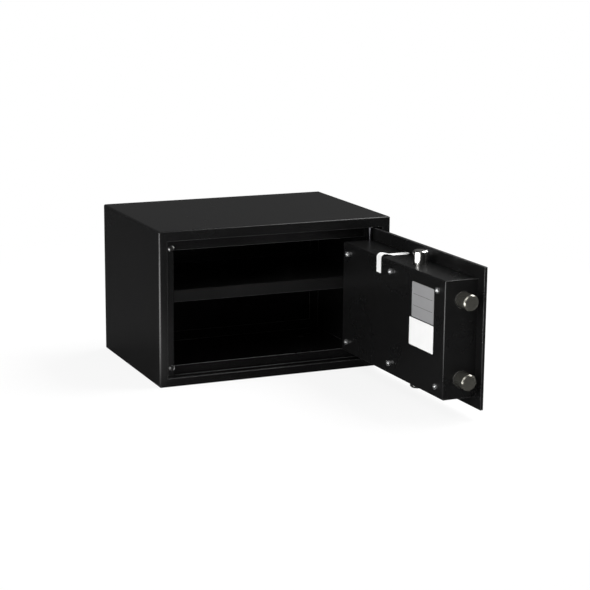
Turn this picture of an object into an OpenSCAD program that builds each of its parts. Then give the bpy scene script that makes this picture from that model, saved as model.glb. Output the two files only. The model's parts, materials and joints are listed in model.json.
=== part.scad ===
// Electronic safe with a rack and pinion bolt work, drawn with its door open and its bolts thrown.
// The origin is the centre of the base. +X is to the right, +Y to the back and +Z up.

/* [Case] */
// Width of the case over its sides
case_w = 400; // [340:10:480]
// Height of the case
case_h = 250; // [220:10:330]
// Depth of the case, without the keypad and knob
case_d = 280; // [230:10:360]
// Thickness of the folded case sheet, and radius of its folds
sheet = 3; // [2.5:0.5:4]
// Face strip at the left and the right of the doorway
side_strip = 14; // [12:1:20]
// Face strip above the doorway
top_strip = 16.5; // [14:0.5:22]
// Face strip below the doorway
bottom_strip = 14; // [12:1:20]
// Inward fold at the rear, which the back panel is welded to
back_flange = 17; // [12:1:25]

/* [Door frame] */
// Thickness of the frame sheet in the doorway
frame_t = 2; // [1.5:0.5:2.5]
// Depth of the doorway in front of its ledges
recess_d = 19; // [18:0.5:20]
// Length of the ledge cut-away beside the hinge
hinge_relief = 23; // [21:1:28]
// Depth of the hinge side wall of the doorway
hinge_wall_d = 30; // [26:1:36]
// Distance from the face to the strip that the free edge shuts against
strike_inset = 6.5; // [6.3:0.1:7.5]

/* [Shelf] */
// Height of the shelf's top above the base
shelf_z = 139; // [120:1:170]
// Height of the shelf's folded front lip
shelf_lip = 20; // [15:1:28]
// Distance from the face to the shelf lip
shelf_setback = 75; // [68:1:110]
// Thickness of the shelf sheet
shelf_t = 1.5; // [1:0.5:2]
// Width of the rails' feet under the shelf
rail_w = 12; // [8:1:16]
// Height of the rails against the case's sides
rail_h = 14; // [10:1:18]

/* [Door] */
// Angle that the door stands open at
rest_open = 91; // [0:1:100]
// Thickness of the door plate
door_t = 5; // [4:0.5:6]
// Gap between the door's free edge and the doorway
gap_free = 1.3; // [1:0.1:2]
// Gap below the door
gap_bottom = 1.2; // [1.2:0.1:2]
// Gap above the door
gap_top = 2.1; // [1:0.1:3]
// Gap between the door's hinge edge and the doorway
gap_hinge = 3.2; // [3.2:0.1:4]
// Part of the door beyond the hinge axis
door_tail = 14; // [13:0.5:14.5]
// Depth of the hinge axis behind the door's outer face
hinge_depth = 10; // [9.5:0.5:10.5]
// Diameter of the hinge rod
rod_d = 6; // [5:0.5:7]
// Height of a hinge lug
lug_h = 12; // [8:1:16]
// Diameter of the door's buffers
buffer_d = 10.5; // [8:0.5:11.5]

/* [Lock cover] */
// Depth of the lock cover behind the door plate
cover_d = 55.5; // [54:0.5:60]
// Thickness of the lock cover's sheet
cover_t = 1.5; // [1:0.5:2]
// Outer radius of the lock cover's folds
cover_r = 2; // [1.6:0.2:4]
// Distance from the door's free edge to the cover
cover_free = 16.5; // [16:0.5:20]
// Distance from the door's lower edge to the cover
cover_low = 17; // [16:0.5:22]
// Distance from the door's upper edge to the cover
cover_high = 19.4; // [18:0.2:24]
// Distance of the cover's nuts from its edges
nut_inset = 17; // [16.5:0.5:18]
// Diameter of the studs that carry the cover
stud_d = 5; // [4:0.5:6]

/* [Bolts] */
// Diameter of the two horizontal bolts
bolt_d = 25; // [20:0.5:25]
// Distance between the horizontal bolts
bolt_spread = 119.6; // [110:0.2:122]
// Depth of the horizontal bolts' axis behind the door's outer face
bolt_depth = 30.5; // [30.5:0.1:31]
// Diameter of the top and bottom bolts
vbolt_d = 22; // [18:0.5:22]
// Depth of the top and bottom bolts' axis
vbolt_depth = 33.4; // [33.2:0.1:34]
// How far the bolts travel
throw = 24; // [20:0.5:24]
// How far the thrown horizontal bolts stand out of the cover
bolt_out = 26; // [24.5:0.5:26]
// How far the thrown top bolt stands out of the cover
top_out = 21.7; // [18:0.1:22]
// How far the thrown bottom bolt stands out of the cover
bottom_out = 14; // [8:0.5:14]

/* [Bolt work] */
// Distance from the door's free edge to the knob and the upright bolts
pinion_u = 142.3; // [138:0.1:150]
// Module of the gear teeth
gear_m = 1.5; // [1.4:0.05:1.5]
// Number of pinion teeth
gear_n = 20; // [20:1:20]
// Play between the teeth, measured along the pitch line
backlash = 0.16; // [0.1:0.02:0.3]
// Thickness of the carriage and the bars
bar_t = 3; // [2.5:0.1:3]
// Distance from the door's free edge to the override lock
lock_u = 285; // [280:1:290]
// How far the solenoid's plunger travels
plunger_throw = 6; // [5:0.5:6]
// Diameter of the knob's spindle
spindle_d = 8; // [7:0.5:9]

/* [Keypad] */
// Width of the housing on the door's outer face
housing_w = 200; // [196:1:210]
// Height of the housing
housing_h = 130; // [128:1:136]
// How far the housing stands out of the door
housing_d = 20; // [19.5:0.5:24]
// Wall of the housing
housing_t = 2; // [1.6:0.2:2.4]
// Width of a key
key_w = 18; // [14:0.5:19]
// Height of a key
key_h = 12.5; // [10:0.5:13.5]
// Gap between neighbouring keys in a row
key_gap = 4; // [3.5:0.5:5]
// Gap between rows of keys
key_row_gap = 4.5; // [3.5:0.5:5]
// How far a key stands out
key_out = 2.4; // [2:0.1:3]
// How far a key travels
key_travel = 1.5; // [1:0.1:1.6]
// Diameter of the knob
knob_d = 42; // [36:1:48]
// Length of the knob's grip
knob_h = 24; // [20:1:30]

/* [Fits] */
// Radial clearance of what slides or turns in its own hole
fit_run = 0.08; // [0.05:0.01:0.1]
// Radial clearance of what is pressed or welded into a hole
fit_tight = 0.02; // [0.01:0.01:0.03]
// Gap between neighbouring pieces that move past each other
gap_slide = 0.3; // [0.2:0.05:0.5]
// Diameter of the anchor holes in the floor and the back
anchor_d = 10; // [8:0.5:12]

/* [Hidden] */
$fn = 48;
cut = 1;
// Inner radius of the folds in thin sheet
bend = 0.5;
// Play round a screw or a bolt in a plain hole
screw_play = 0.6;
bolt_play = 1;

// Case, measured from its left, front and bottom
left_x = -case_w / 2;
front_y = -case_d / 2;
recess_l = side_strip;
recess_r = case_w - side_strip;
recess_b = bottom_strip;
recess_t = case_h - top_strip;
back_y = case_d - sheet;
anchor_side = 60;
anchor_front = 80;
anchor_rear = 60;
anchor_top = 60;
anchor_x = [anchor_side, case_w - anchor_side];
anchor_y = [anchor_front, case_d - anchor_rear];
shelf_gap = 0.4;
shelf_len = back_y - sheet - shelf_setback;
rail_inset = 5;

// Door, measured along its width from the free edge (u), back from its outer face (d) and up (z)
door_w = recess_r - recess_l - gap_free - gap_hinge;
door_b = recess_b + gap_bottom;
door_top = recess_t - gap_top;
hinge_u = door_w - door_tail;
axis_x = left_x + recess_l + gap_free + hinge_u;
axis_y = front_y + hinge_depth;
edge_chamfer = 0.6;
tail_chamfer = 1.5;
lead_hole = 9;

// Lock cover
rod_gap = 0.5;
cover_u0 = cover_free;
cover_u1 = hinge_u - rod_d / 2 - rod_gap;
cover_b = door_b + cover_low;
cover_top = door_top - cover_high;
cover_back = door_t + cover_d;
mid_z = (cover_b + cover_top) / 2;
nut_side = nut_inset + 2;
nut_u = [cover_u0 + nut_side, (cover_u0 + cover_u1) / 2, cover_u1 - nut_side];
nut_z = [cover_b + nut_inset, cover_top - nut_inset];
nut_d = 9.2;
nut_h = 4;
stud_end = 1.5;

// Hinge
bush_outer = rod_d + 3;
bush_flange = rod_d + 6;
bush_flange_t = 1;
bush_tail = 2;
rod_tail = 1.5;
washer_gap = 0.1;
washer_t = 1;
lug_r = rod_d / 2 + 3.5;
lug_foot = 17;
lug_drop = 20;
lug_clear = 1;
lug_z = [recess_b + bush_flange_t + washer_gap + washer_t, cover_top - lug_drop];

// Doorway ledges and strike, which stand clear of the cover as it swings in
ledge_clear_b = 2.2;
ledge_clear_t = 3.5;
strike_clear = 1;
strike_bolt_gap = 1;
ledge_b = cover_b - ledge_clear_b;
ledge_top = cover_top + ledge_clear_t;
ledge_end = recess_r - hinge_relief;
swing_r = norm([hinge_u - cover_u0, cover_back - hinge_depth]);
strike_w = axis_x - left_x - swing_r - strike_clear - recess_l;
strike_back = bolt_depth - bolt_d / 2 - strike_bolt_gap;
strike_t = 1.5;
buffer_gap = 0.3;
buffer_cone = 1;
buffer_x = recess_l + strike_w - buffer_d / 2 - 0.1;
buffer_z = [ledge_b - 0.4, recess_t - 12];

// Horizontal bolts
bolt_z = [mid_z - bolt_spread / 2, mid_z + bolt_spread / 2];
bolt_tip = cover_u0 - bolt_out;
bolt_len = 73.5;
bolt_flat = 22;
bolt_chamfer = 2;
bolt_end = bolt_tip + bolt_len;

// Screws and rivets
screw_d = 4;
screw_head_t = 2.2;
carriage_screw_u = [bolt_end - 16, bolt_end - 6];
peg_u = 4.5;
peg_d = 5;

// Teeth, which are involutes on a base circle
gear_r = gear_m * gear_n / 2;
pressure_angle = 20;
tooth_top = gear_m;
tooth_root = 1.25 * gear_m;
tooth_pitch = PI * gear_m;
gear_base = gear_r * cos(pressure_angle);
flank_r = [for (i = [0:5]) gear_base + (gear_r + tooth_top - gear_base) * i / 5];
rack_back = 2;

// Carriage plate, which lies on the flats of the horizontal bolts
carriage_d0 = bolt_depth;
strip_u0 = 60;
strip_u1 = 100;
post_d = 6;
post_head = 9;
post_head_t = 1.5;
post_play = 0.2;
slot_r = post_d / 2 + gap_slide / 2;
carriage_post = [[93, mid_z + 40], [93, mid_z - 40], [200, mid_z - 27]];
arm_low = mid_z - 34;
arm_top = mid_z - gear_r - tooth_root;
arm_end = lock_u - 9;

// Upright bolts and their bars, in a layer in front of the carriage
bar_gap = 0.5;
bar_d1 = carriage_d0 - bar_t - bar_gap;
bar_d0 = bar_d1 - bar_t;
bar_w = 11;
bar_u = gear_r + tooth_root + bar_w / 2;
top_tip = cover_top + top_out;
top_len = 66;
top_inner = top_tip - top_len - mid_z;
top_flat = 22;
bottom_tip = cover_b - bottom_out;
bottom_len = 42.5;
bottom_inner = mid_z - bottom_tip - bottom_len;
bottom_flat = 12;

// Bolt guides
guide_t = 3;
guide_u = cover_u0 + 12;
guide_flange = 14;
guide_over = 9;
guide_rim = 7;
guide_foot = 10;
guide_lip = 3;
guide_z = [cover_b + 12, cover_top - 15];

// Knob spindle with its pinion
pinion_d0 = bar_d0 - 1;
pinion_d1 = carriage_d0 + bar_t + 1;
bush_d = 14;
bush_rim = 4;
bush_rim_t = 3;
clip_t = 1;
clip_play = 0.1;
clip_groove = 0.7;
spindle_in = 15;

// Solenoid
solenoid_u = lock_u - 23;
plunger_d = 6;
plunger_depth = carriage_d0 + bar_t / 2;
plunger_gap = 1.3;
plunger_tip = arm_top + plunger_gap;
collar_z = plunger_tip + 9.5;
collar_t = 2;
collar_d = 14;
spring_len = 10;
coil_z = collar_z + collar_t + spring_len;
yoke_t = 2;
yoke_foot = 16;
coil_h = 26;
coil_d = 19;
coil_play = 1.5;
bobbin_t = 1.5;
bobbin_rim = 0.8;

// Spring that pushes the plunger out
wire_d = 0.8;
spring_r = 4.6;
spring_turns = 6;
spring_play = 0.1;
rings_per_turn = 12;
wire_sides = 6;

// Override lock
lock_z = collar_z - 4.8;
barrel_d = 18;
barrel_flange = 2;
barrel_flange_t = 1.2;
lock_nut_d = 27;
lock_nut_t = 4;
plug_d = 12;
plug_tail = 7;
keyhole_w = 1.8;
keyhole_h = 7;
cam_d0 = bar_d0 + 1.5;
cam_t = 2.5;
cam_w = 8;
cam_reach = 24;
cam_nut_t = 2.2;

// Keypad housing on the outer face, where d is negative
face_d = -housing_d;
housing_u0 = pinion_u - 34;
housing_u1 = housing_u0 + housing_w;
housing_b = mid_z - 70;
housing_top = housing_b + housing_h;
housing_r = 12;
housing_edge = 1.5;
boss_inset = 9;
boss_d = 6;
housing_screw = 11;
knob_plinth = 4;
knob_plinth_h = 1.5;

// Keys, with the mat and the board behind them
key_u = [for (i = [-1:1]) pinion_u + 75 + (key_w + key_gap) * i];
key_z = [for (i = [0:3]) housing_top - 27.75 - key_h / 2 - (key_h + key_row_gap) * i];
key_r = 2.5;
key_edge = 0.8;
key_lip = 1;
key_names = [["1", "2", "3"], ["4", "5", "6"], ["7", "8", "9"], ["clear", "0", "enter"]];
key_back = face_d + housing_t + gap_slide + key_lip;
mat_t = 1;
dome_h = 0.5;
dome_d = 8;
dome_gap = 0.2;
board_d = key_back + key_travel + dome_gap + dome_h + mat_t;
board_t = 1.5;
board_margin = 9;
board_u = [key_u[0] - key_w / 2 - board_margin, key_u[2] + key_w / 2 + board_margin];
board_z = [key_z[3] - key_h / 2 - 1.75, housing_top - 5];
housing_boss = [for (u = [housing_u0 + boss_inset, housing_u1 - boss_inset],
                     z = [housing_b + boss_inset, housing_top - boss_inset]) [u, z]];
board_boss = [for (u = [board_u[0] + 4, board_u[1] - 4], z = [board_z[0] + 3, board_z[1] - 4]) [u, z]];

// Display
window_w = 54;
window_h = 13;
window_z = housing_top - 14.5;
window_rim = 1.5;
window_play = 0.1;

// Batteries and their drawer
battery_d = 14.5;
battery_l = 50.5;
battery_tip = 1.2;
drawer_wall = 1.6;
drawer_play = 1;
drawer_w = 2 * battery_l + 2 * drawer_wall + drawer_play;
drawer_h = 2 * battery_d + 2 * drawer_wall + drawer_play;
drawer_u0 = key_u[1] - drawer_w / 2;
drawer_rib = 1.5;
nail_w = 24;
nail_d = 3;
nail_t = 0.9;

// Swinging cover over the override lock
override_pivot_z = lock_z + 24;
override_t = 1.8;
override_gap = 0.3;
override_d0 = face_d - barrel_flange_t - 0.2 - override_t;
override_head = 14;

// Colours
black = [0.09, 0.09, 0.09];
dark = [0.16, 0.16, 0.17];
steel = [0.72, 0.73, 0.75];
zinc = [0.62, 0.64, 0.66];

// Places what is written from the case's left, front and bottom
module in_case() {
    translate([left_x, front_y, 0]) children();
}

// Places what is written in u, d and z, with the door turned to its rest angle
module on_door() {
    translate([axis_x, axis_y, 0])
        rotate([0, 0, rest_open])
            translate([-hinge_u, -hinge_depth, 0])
                children();
}

// A rectangle with one rounded corner at the origin
module corner_rect(w, h, r) {
    translate([r, 0]) square([w - r, h]);
    translate([0, r]) square([w, h - r]);
    translate([r, r]) circle(r);
}

// Sheet of thickness t folded once at the origin, with a leg along x and a leg along y
module fold_2d(w, h, t) {
    difference() {
        corner_rect(w, h, t + bend);
        translate([t, t]) corner_rect(w, h, bend);
    }
}

// A rectangle with four rounded corners, from its lower left corner
module round_rect(w, h, r) {
    translate([r, 0]) square([w - 2 * r, h]);
    translate([0, r]) square([w, h - 2 * r]);
    for (x = [r, w - r], y = [r, h - r])
        translate([x, y]) circle(r);
}

// A rectangle with its two lower corners rounded
module round_front(w, h, r) {
    translate([r, 0]) square([w - 2 * r, h]);
    translate([0, r]) square([w, h - r]);
    for (x = [r, w - r])
        translate([x, r]) circle(r);
}

// A slot with round ends between two points on a line along x
module slot_2d(x0, x1, r) {
    translate([x0, -r]) square([x1 - x0, 2 * r]);
    for (x = [x0, x1])
        translate([x, 0]) circle(r);
}

// A cap with rounded corners and a rounded rim, its face at y = 0
module round_cap(w, h, d, r, edge) {
    translate([0, 0, r]) linear_extrude(h - 2 * r) round_front(w, d, edge);
    translate([w - r, 0, 0]) rotate([0, -90, 0]) linear_extrude(w - 2 * r) round_front(h, d, edge);
    for (x = [r, w - r], z = [r, h - r])
        translate([x, 0, z]) rotate([-90, 0, 0])
            rotate_extrude() translate([r, 0]) mirror([1, 0]) corner_rect(r, d, edge);
}

// Raises an outline of u and z into a plate between two depths
module plate(d0, d1) {
    translate([0, d1, 0]) rotate([90, 0, 0]) linear_extrude(d1 - d0) children();
}

// A round pin along the depth
module pin(u, z, d0, d1, dia) {
    translate([u, d0, z]) rotate([-90, 0, 0]) cylinder(d = dia, h = d1 - d0);
}

// A round bar along +x with a chamfered tip at its start
module bar_along_x(len, dia, chamfer) {
    rotate([0, 90, 0]) {
        cylinder(d1 = dia - 2 * chamfer, d2 = dia, h = chamfer);
        translate([0, 0, chamfer]) cylinder(d = dia, h = len - chamfer);
    }
}

// Case sheet: two sides, top and floor in one fold, with the face strips and the rear flange
module body_wrap() {
    color(black) in_case()
        difference() {
            intersection() {
                translate([0, case_d, 0]) rotate([90, 0, 0])
                    linear_extrude(case_d) round_rect(case_w, case_h, sheet);
                linear_extrude(case_h) round_front(case_w, case_d, sheet);
                rotate([0, 0, 90]) rotate([90, 0, 0])
                    linear_extrude(case_w) rotate(-90) mirror([1, 0])
                        round_front(case_h, case_d, sheet);
            }
            translate([sheet, sheet, sheet])
                cube([case_w - 2 * sheet, case_d - 3 * sheet, case_h - 2 * sheet]);
            translate([recess_l, -cut, recess_b])
                cube([recess_r - recess_l, sheet + 2 * cut, recess_t - recess_b]);
            translate([sheet + back_flange, case_d / 2, sheet + back_flange])
                cube([case_w - 2 * (sheet + back_flange), case_d, case_h - 2 * (sheet + back_flange)]);
            translate([sheet, back_y, sheet])
                cube([case_w - 2 * sheet, sheet + cut, case_h - 2 * sheet]);
            for (x = anchor_x, y = anchor_y)
                translate([x, y, -cut]) cylinder(d = anchor_d, h = sheet + 2 * cut);
        }
}

// Back panel with two anchor holes
module back_panel() {
    color(black) in_case()
        difference() {
            translate([sheet, back_y, sheet]) cube([case_w - 2 * sheet, sheet, case_h - 2 * sheet]);
            for (x = anchor_x)
                pin(x, case_h - anchor_top, back_y - cut, case_d + cut, anchor_d);
        }
}

// Folded frame that lines the doorway and stops the door with its ledges
module front_frame() {
    wall_h = recess_t - recess_b + 2 * frame_t;
    deep = recess_d + frame_t - sheet;
    color(black) in_case()
        difference() {
            union() {
                translate([0, 0, recess_b - frame_t]) ledge_fold(deep, ledge_b - recess_b + frame_t);
                translate([0, 0, recess_t + frame_t]) mirror([0, 0, 1])
                    ledge_fold(deep, recess_t + frame_t - ledge_top);
                translate([recess_l - frame_t, sheet, recess_b - frame_t])
                    cube([frame_t, strike_back - sheet, wall_h]);
                translate([recess_r, sheet, recess_b - frame_t])
                    cube([frame_t, hinge_wall_d - sheet, wall_h]);
            }
            for (z = [recess_b - frame_t - cut, recess_t - cut])
                translate([axis_x - left_x, hinge_depth, z])
                    cylinder(d = bush_outer + 2 * fit_tight, h = frame_t + 2 * cut);
        }
}

// Floor or top of the doorway, folded into its ledge and flat where the ledge is cut away
module ledge_fold(deep, leg) {
    translate([ledge_end, recess_d + frame_t, 0]) rotate([90, 0, -90])
        linear_extrude(ledge_end - recess_l + frame_t) fold_2d(deep, leg, frame_t);
    translate([ledge_end, sheet, 0]) cube([recess_r + frame_t - ledge_end, deep, frame_t]);
}

// Channel that the free edge of the door shuts against, with the bolts thrown behind it
module strike_strip() {
    color(black) in_case()
        translate([recess_l, strike_inset, recess_b])
            linear_extrude(recess_t - recess_b)
                translate([strike_w, 0]) mirror([1, 0])
                    fold_2d(strike_w, strike_back - strike_inset, strike_t);
}

// Two round buffers that quieten the door
module door_buffers() {
    thick = strike_inset - door_t - buffer_gap;
    color([0.85, 0.86, 0.88]) in_case()
        for (z = buffer_z) {
            pin(buffer_x, z, strike_inset - thick / 2, strike_inset, buffer_d);
            translate([buffer_x, strike_inset - thick / 2, z]) rotate([90, 0, 0])
                cylinder(d1 = buffer_d, d2 = buffer_d - 2 * buffer_cone, h = thick / 2);
        }
}

// Flanged bushes that the hinge rod turns in
module hinge_bush() {
    tail = frame_t + bush_tail;
    difference() {
        union() {
            translate([0, 0, -tail]) cylinder(d = bush_outer, h = tail);
            cylinder(d = bush_flange, h = bush_flange_t);
        }
        translate([0, 0, -tail - cut])
            cylinder(d = rod_d + 2 * fit_run, h = tail + bush_flange_t + 2 * cut);
    }
}

module hinge_bushes() {
    color([0.85, 0.83, 0.76]) in_case()
        translate([axis_x - left_x, hinge_depth, 0]) {
            translate([0, 0, recess_b]) hinge_bush();
            translate([0, 0, recess_t]) mirror([0, 0, 1]) hinge_bush();
        }
}

// Shelf folded down at the front
module shelf() {
    color(black) in_case()
        translate([sheet + shelf_gap, shelf_setback, shelf_z]) rotate([0, 90, 0])
            linear_extrude(case_w - 2 * (sheet + shelf_gap)) fold_2d(shelf_lip, shelf_len, shelf_t);
}

// Angle rails under the shelf's sides
module shelf_rails() {
    len = shelf_len - 2 * rail_inset;
    color(black) in_case()
        for (side = [0, 1])
            translate([side * case_w, shelf_setback + rail_inset, shelf_z - shelf_t])
                mirror([side, 0, 0])
                translate([sheet, len, 0]) rotate([90, 0, 0])
                    linear_extrude(len) mirror([0, 1]) fold_2d(rail_w, rail_h, shelf_t);
}

// Door plate, bevelled where its hinge edge swings past the doorway
module door_plate() {
    color(black) on_door()
        difference() {
            translate([0, 0, door_b])
                linear_extrude(door_top - door_b)
                    polygon([[edge_chamfer, 0], [door_w - tail_chamfer, 0], [door_w, tail_chamfer],
                             [door_w, door_t], [0, door_t], [0, edge_chamfer]]);
            pin(pinion_u, mid_z, -cut, door_t + cut, bush_d + 2 * fit_tight);
            pin(lock_u, lock_z, -cut, door_t + cut, barrel_d + 2 * fit_tight);
            pin(board_u[1], mid_z, -cut, door_t + cut, lead_hole);
            for (p = housing_boss)
                pin(p[0], p[1], -cut, door_t + cut, screw_d + screw_play);
        }
}

// Hinge lugs welded to the back of the door plate
module hinge_lugs() {
    color(black) on_door()
        for (z = lug_z)
            translate([0, 0, z])
                linear_extrude(lug_h)
                    difference() {
                        union() {
                            translate([hinge_u, hinge_depth]) circle(lug_r);
                            translate([hinge_u + lug_r - lug_foot, door_t])
                                square([lug_foot, hinge_depth - door_t]);
                        }
                        translate([hinge_u, hinge_depth]) circle(rod_d / 2 + fit_tight);
                        translate([hinge_u - lug_foot, 0]) square([2 * lug_foot, door_t]);
                    }
}

// Hinge rod through both lugs and both bushes
module hinge_rod() {
    z0 = recess_b - frame_t - rod_tail;
    color(steel) on_door()
        translate([hinge_u, hinge_depth, z0])
            cylinder(d = rod_d, h = recess_t + frame_t + rod_tail - z0);
}

// Washer that carries the lower lug on its bush
module thrust_washer() {
    color(steel) on_door()
        translate([hinge_u, hinge_depth, lug_z[0] - washer_t])
            difference() {
                cylinder(d = 2 * (hinge_depth - door_t) - gap_slide, h = washer_t);
                translate([0, 0, -cut]) cylinder(d = rod_d + 2 * fit_run, h = washer_t + 2 * cut);
            }
}

// Folded cover over the bolt work
module lock_cover() {
    w = cover_u1 - cover_u0;
    h = cover_top - cover_b;
    color(black) on_door()
        difference() {
            intersection() {
                translate([cover_u0, cover_back, cover_b]) mirror([0, 1, 0])
                    linear_extrude(h) round_front(w, cover_d, cover_r);
                translate([cover_u0, cover_back, cover_b]) rotate([0, 90, 0]) rotate([0, 0, 180])
                    linear_extrude(w) round_front(h, cover_d, cover_r);
            }
            translate([cover_u0 + cover_t, door_t - cut, cover_b + cover_t])
                cube([w - 2 * cover_t, cover_d + cut - cover_t, h - 2 * cover_t]);
            for (z = bolt_z)
                translate([cover_u0 - cut, bolt_depth, z]) rotate([0, 90, 0])
                    cylinder(d = bolt_d + bolt_play, h = cover_t + 2 * cut);
            for (z = [cover_b - cut, cover_top - cover_t - cut])
                translate([pinion_u, vbolt_depth, z])
                    cylinder(d = vbolt_d + bolt_play, h = cover_t + 2 * cut);
            for (u = nut_u, z = nut_z)
                pin(u, z, cover_back - cover_t - cut, cover_back + cut, stud_d + screw_play);
            translate([cover_u1 - cover_t - cut, door_t - cut, lug_z[1] - lug_clear])
                cube([cover_t + 2 * cut, hinge_depth + lug_r + lug_clear - door_t + cut,
                      lug_h + 2 * lug_clear]);
        }
}

// Guides that the bolts slide in: a channel for the horizontal ones and two angles for the others
module bolt_guides() {
    back = cover_back - cover_t;
    color(zinc) on_door() {
        difference() {
            translate([guide_u, door_t, nut_z[0] - guide_over])
                linear_extrude(nut_z[1] - nut_z[0] + 2 * guide_over)
                    difference() {
                        square([guide_flange, back - door_t]);
                        translate([guide_t, guide_t])
                            square([guide_flange, back - door_t - 2 * guide_t]);
                    }
            for (z = bolt_z)
                translate([guide_u - cut, bolt_depth, z]) rotate([0, 90, 0])
                    cylinder(d = bolt_d + 2 * fit_run, h = guide_t + 2 * cut);
        }
        for (side = [0, 1])
            upright_guide(guide_z[side], side);
    }
}

// Angle with a bore for one upright bolt, its foot pointing away from the pinion
module upright_guide(z, side) {
    half_w = vbolt_d / 2 + guide_rim;
    deep = vbolt_depth + vbolt_d / 2 + guide_lip - door_t;
    translate([pinion_u, 0, z]) mirror([0, 0, 1 - side])
        difference() {
            union() {
                translate([-half_w, door_t, 0]) cube([2 * half_w, deep, guide_t]);
                translate([-half_w, door_t, 0]) cube([2 * half_w, guide_t, guide_foot]);
            }
            translate([0, vbolt_depth, -cut])
                cylinder(d = vbolt_d + 2 * fit_run, h = guide_t + 2 * cut);
        }
}

// Shouldered posts that the carriage and the bars slide on
module guide_post(u, z, d0, thick) {
    d1 = d0 + thick + post_play;
    pin(u, z, door_t, d0 - post_play, post_head);
    pin(u, z, d0 - post_play, d1, post_d);
    pin(u, z, d1, d1 + post_head_t, post_head);
}

module guide_posts() {
    color(steel) on_door() {
        for (p = carriage_post)
            guide_post(p[0], p[1], carriage_d0, bar_t);
        for (u = [pinion_u - bar_u, pinion_u + bar_u])
            guide_post(u, mid_z, bar_d0, bar_t);
    }
}

// Studs that the cover is fastened to: two on the bolt channel, four on the door plate
module cover_studs() {
    color(zinc) on_door()
        for (u = nut_u, z = nut_z)
            pin(u, z, u == nut_u[0] ? cover_back - cover_t : door_t, cover_back + nut_h + stud_end,
                stud_d);
}

// Six nuts on the back of the cover
module cover_nuts() {
    color(steel) on_door()
        for (u = nut_u, z = nut_z)
            difference() {
                translate([u, cover_back, z]) rotate([-90, 0, 0])
                    cylinder(d = nut_d, h = nut_h, $fn = 6);
                pin(u, z, cover_back - cut, cover_back + nut_h + cut, stud_d + 2 * fit_tight);
            }
}

// Flanged bush that the knob spindle turns in
module spindle_bush() {
    color([0.75, 0.6, 0.3]) on_door()
        difference() {
            union() {
                pin(pinion_u, mid_z, 0, pinion_d0 - gap_slide, bush_d);
                pin(pinion_u, mid_z, door_t, door_t + bush_rim_t, bush_d + 2 * bush_rim);
            }
            pin(pinion_u, mid_z, -cut, pinion_d0 + cut, spindle_d + 2 * fit_run);
        }
}

// Solenoid coil, with the hole that its plunger slides in
module solenoid_coil() {
    z0 = coil_z + yoke_t;
    color([0.55, 0.25, 0.1]) on_door()
        translate([solenoid_u, plunger_depth, z0])
            difference() {
                union() {
                    cylinder(d = coil_d, h = coil_h);
                    for (z = [0, coil_h - bobbin_t])
                        translate([0, 0, z]) cylinder(d = coil_d + 2 * bobbin_rim, h = bobbin_t);
                }
                translate([0, 0, -cut]) cylinder(d = plunger_d + 2 * fit_run, h = coil_h + 2 * cut);
            }
}

// Yoke round the coil, with the leg and foot that carry it on the door plate
module solenoid_frame() {
    half = coil_d / 2 + coil_play;
    z0 = coil_z;
    h = coil_h + 2 * yoke_t;
    color(zinc) on_door()
        difference() {
            union() {
                for (z = [z0, z0 + h - yoke_t])
                    translate([solenoid_u - half, plunger_depth - half, z])
                        cube([2 * half + yoke_t, 2 * half, yoke_t]);
                translate([solenoid_u + half, door_t, z0])
                    cube([yoke_t, plunger_depth + half - door_t, h]);
                translate([solenoid_u + half, door_t, z0]) cube([yoke_foot, yoke_t, h]);
            }
            translate([solenoid_u, plunger_depth, z0 - cut])
                cylinder(d = plunger_d + 2 * fit_run, h = h + 2 * cut);
        }
}

// Barrel of the override lock, clamped through the housing and the door plate
module lock_barrel() {
    color(steel) on_door()
        difference() {
            union() {
                pin(lock_u, lock_z, face_d, cam_d0 - 1, barrel_d);
                pin(lock_u, lock_z, face_d - barrel_flange_t, face_d, barrel_d + 2 * barrel_flange);
            }
            pin(lock_u, lock_z, face_d - 2, cam_d0, plug_d + 2 * fit_run);
        }
}

module lock_nut() {
    color(zinc) on_door()
        difference() {
            translate([lock_u, door_t, lock_z]) rotate([-90, 0, 0])
                cylinder(d = lock_nut_d, h = lock_nut_t, $fn = 6);
            pin(lock_u, lock_z, door_t - cut, door_t + lock_nut_t + cut, barrel_d + 2 * fit_tight);
        }
}

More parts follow.
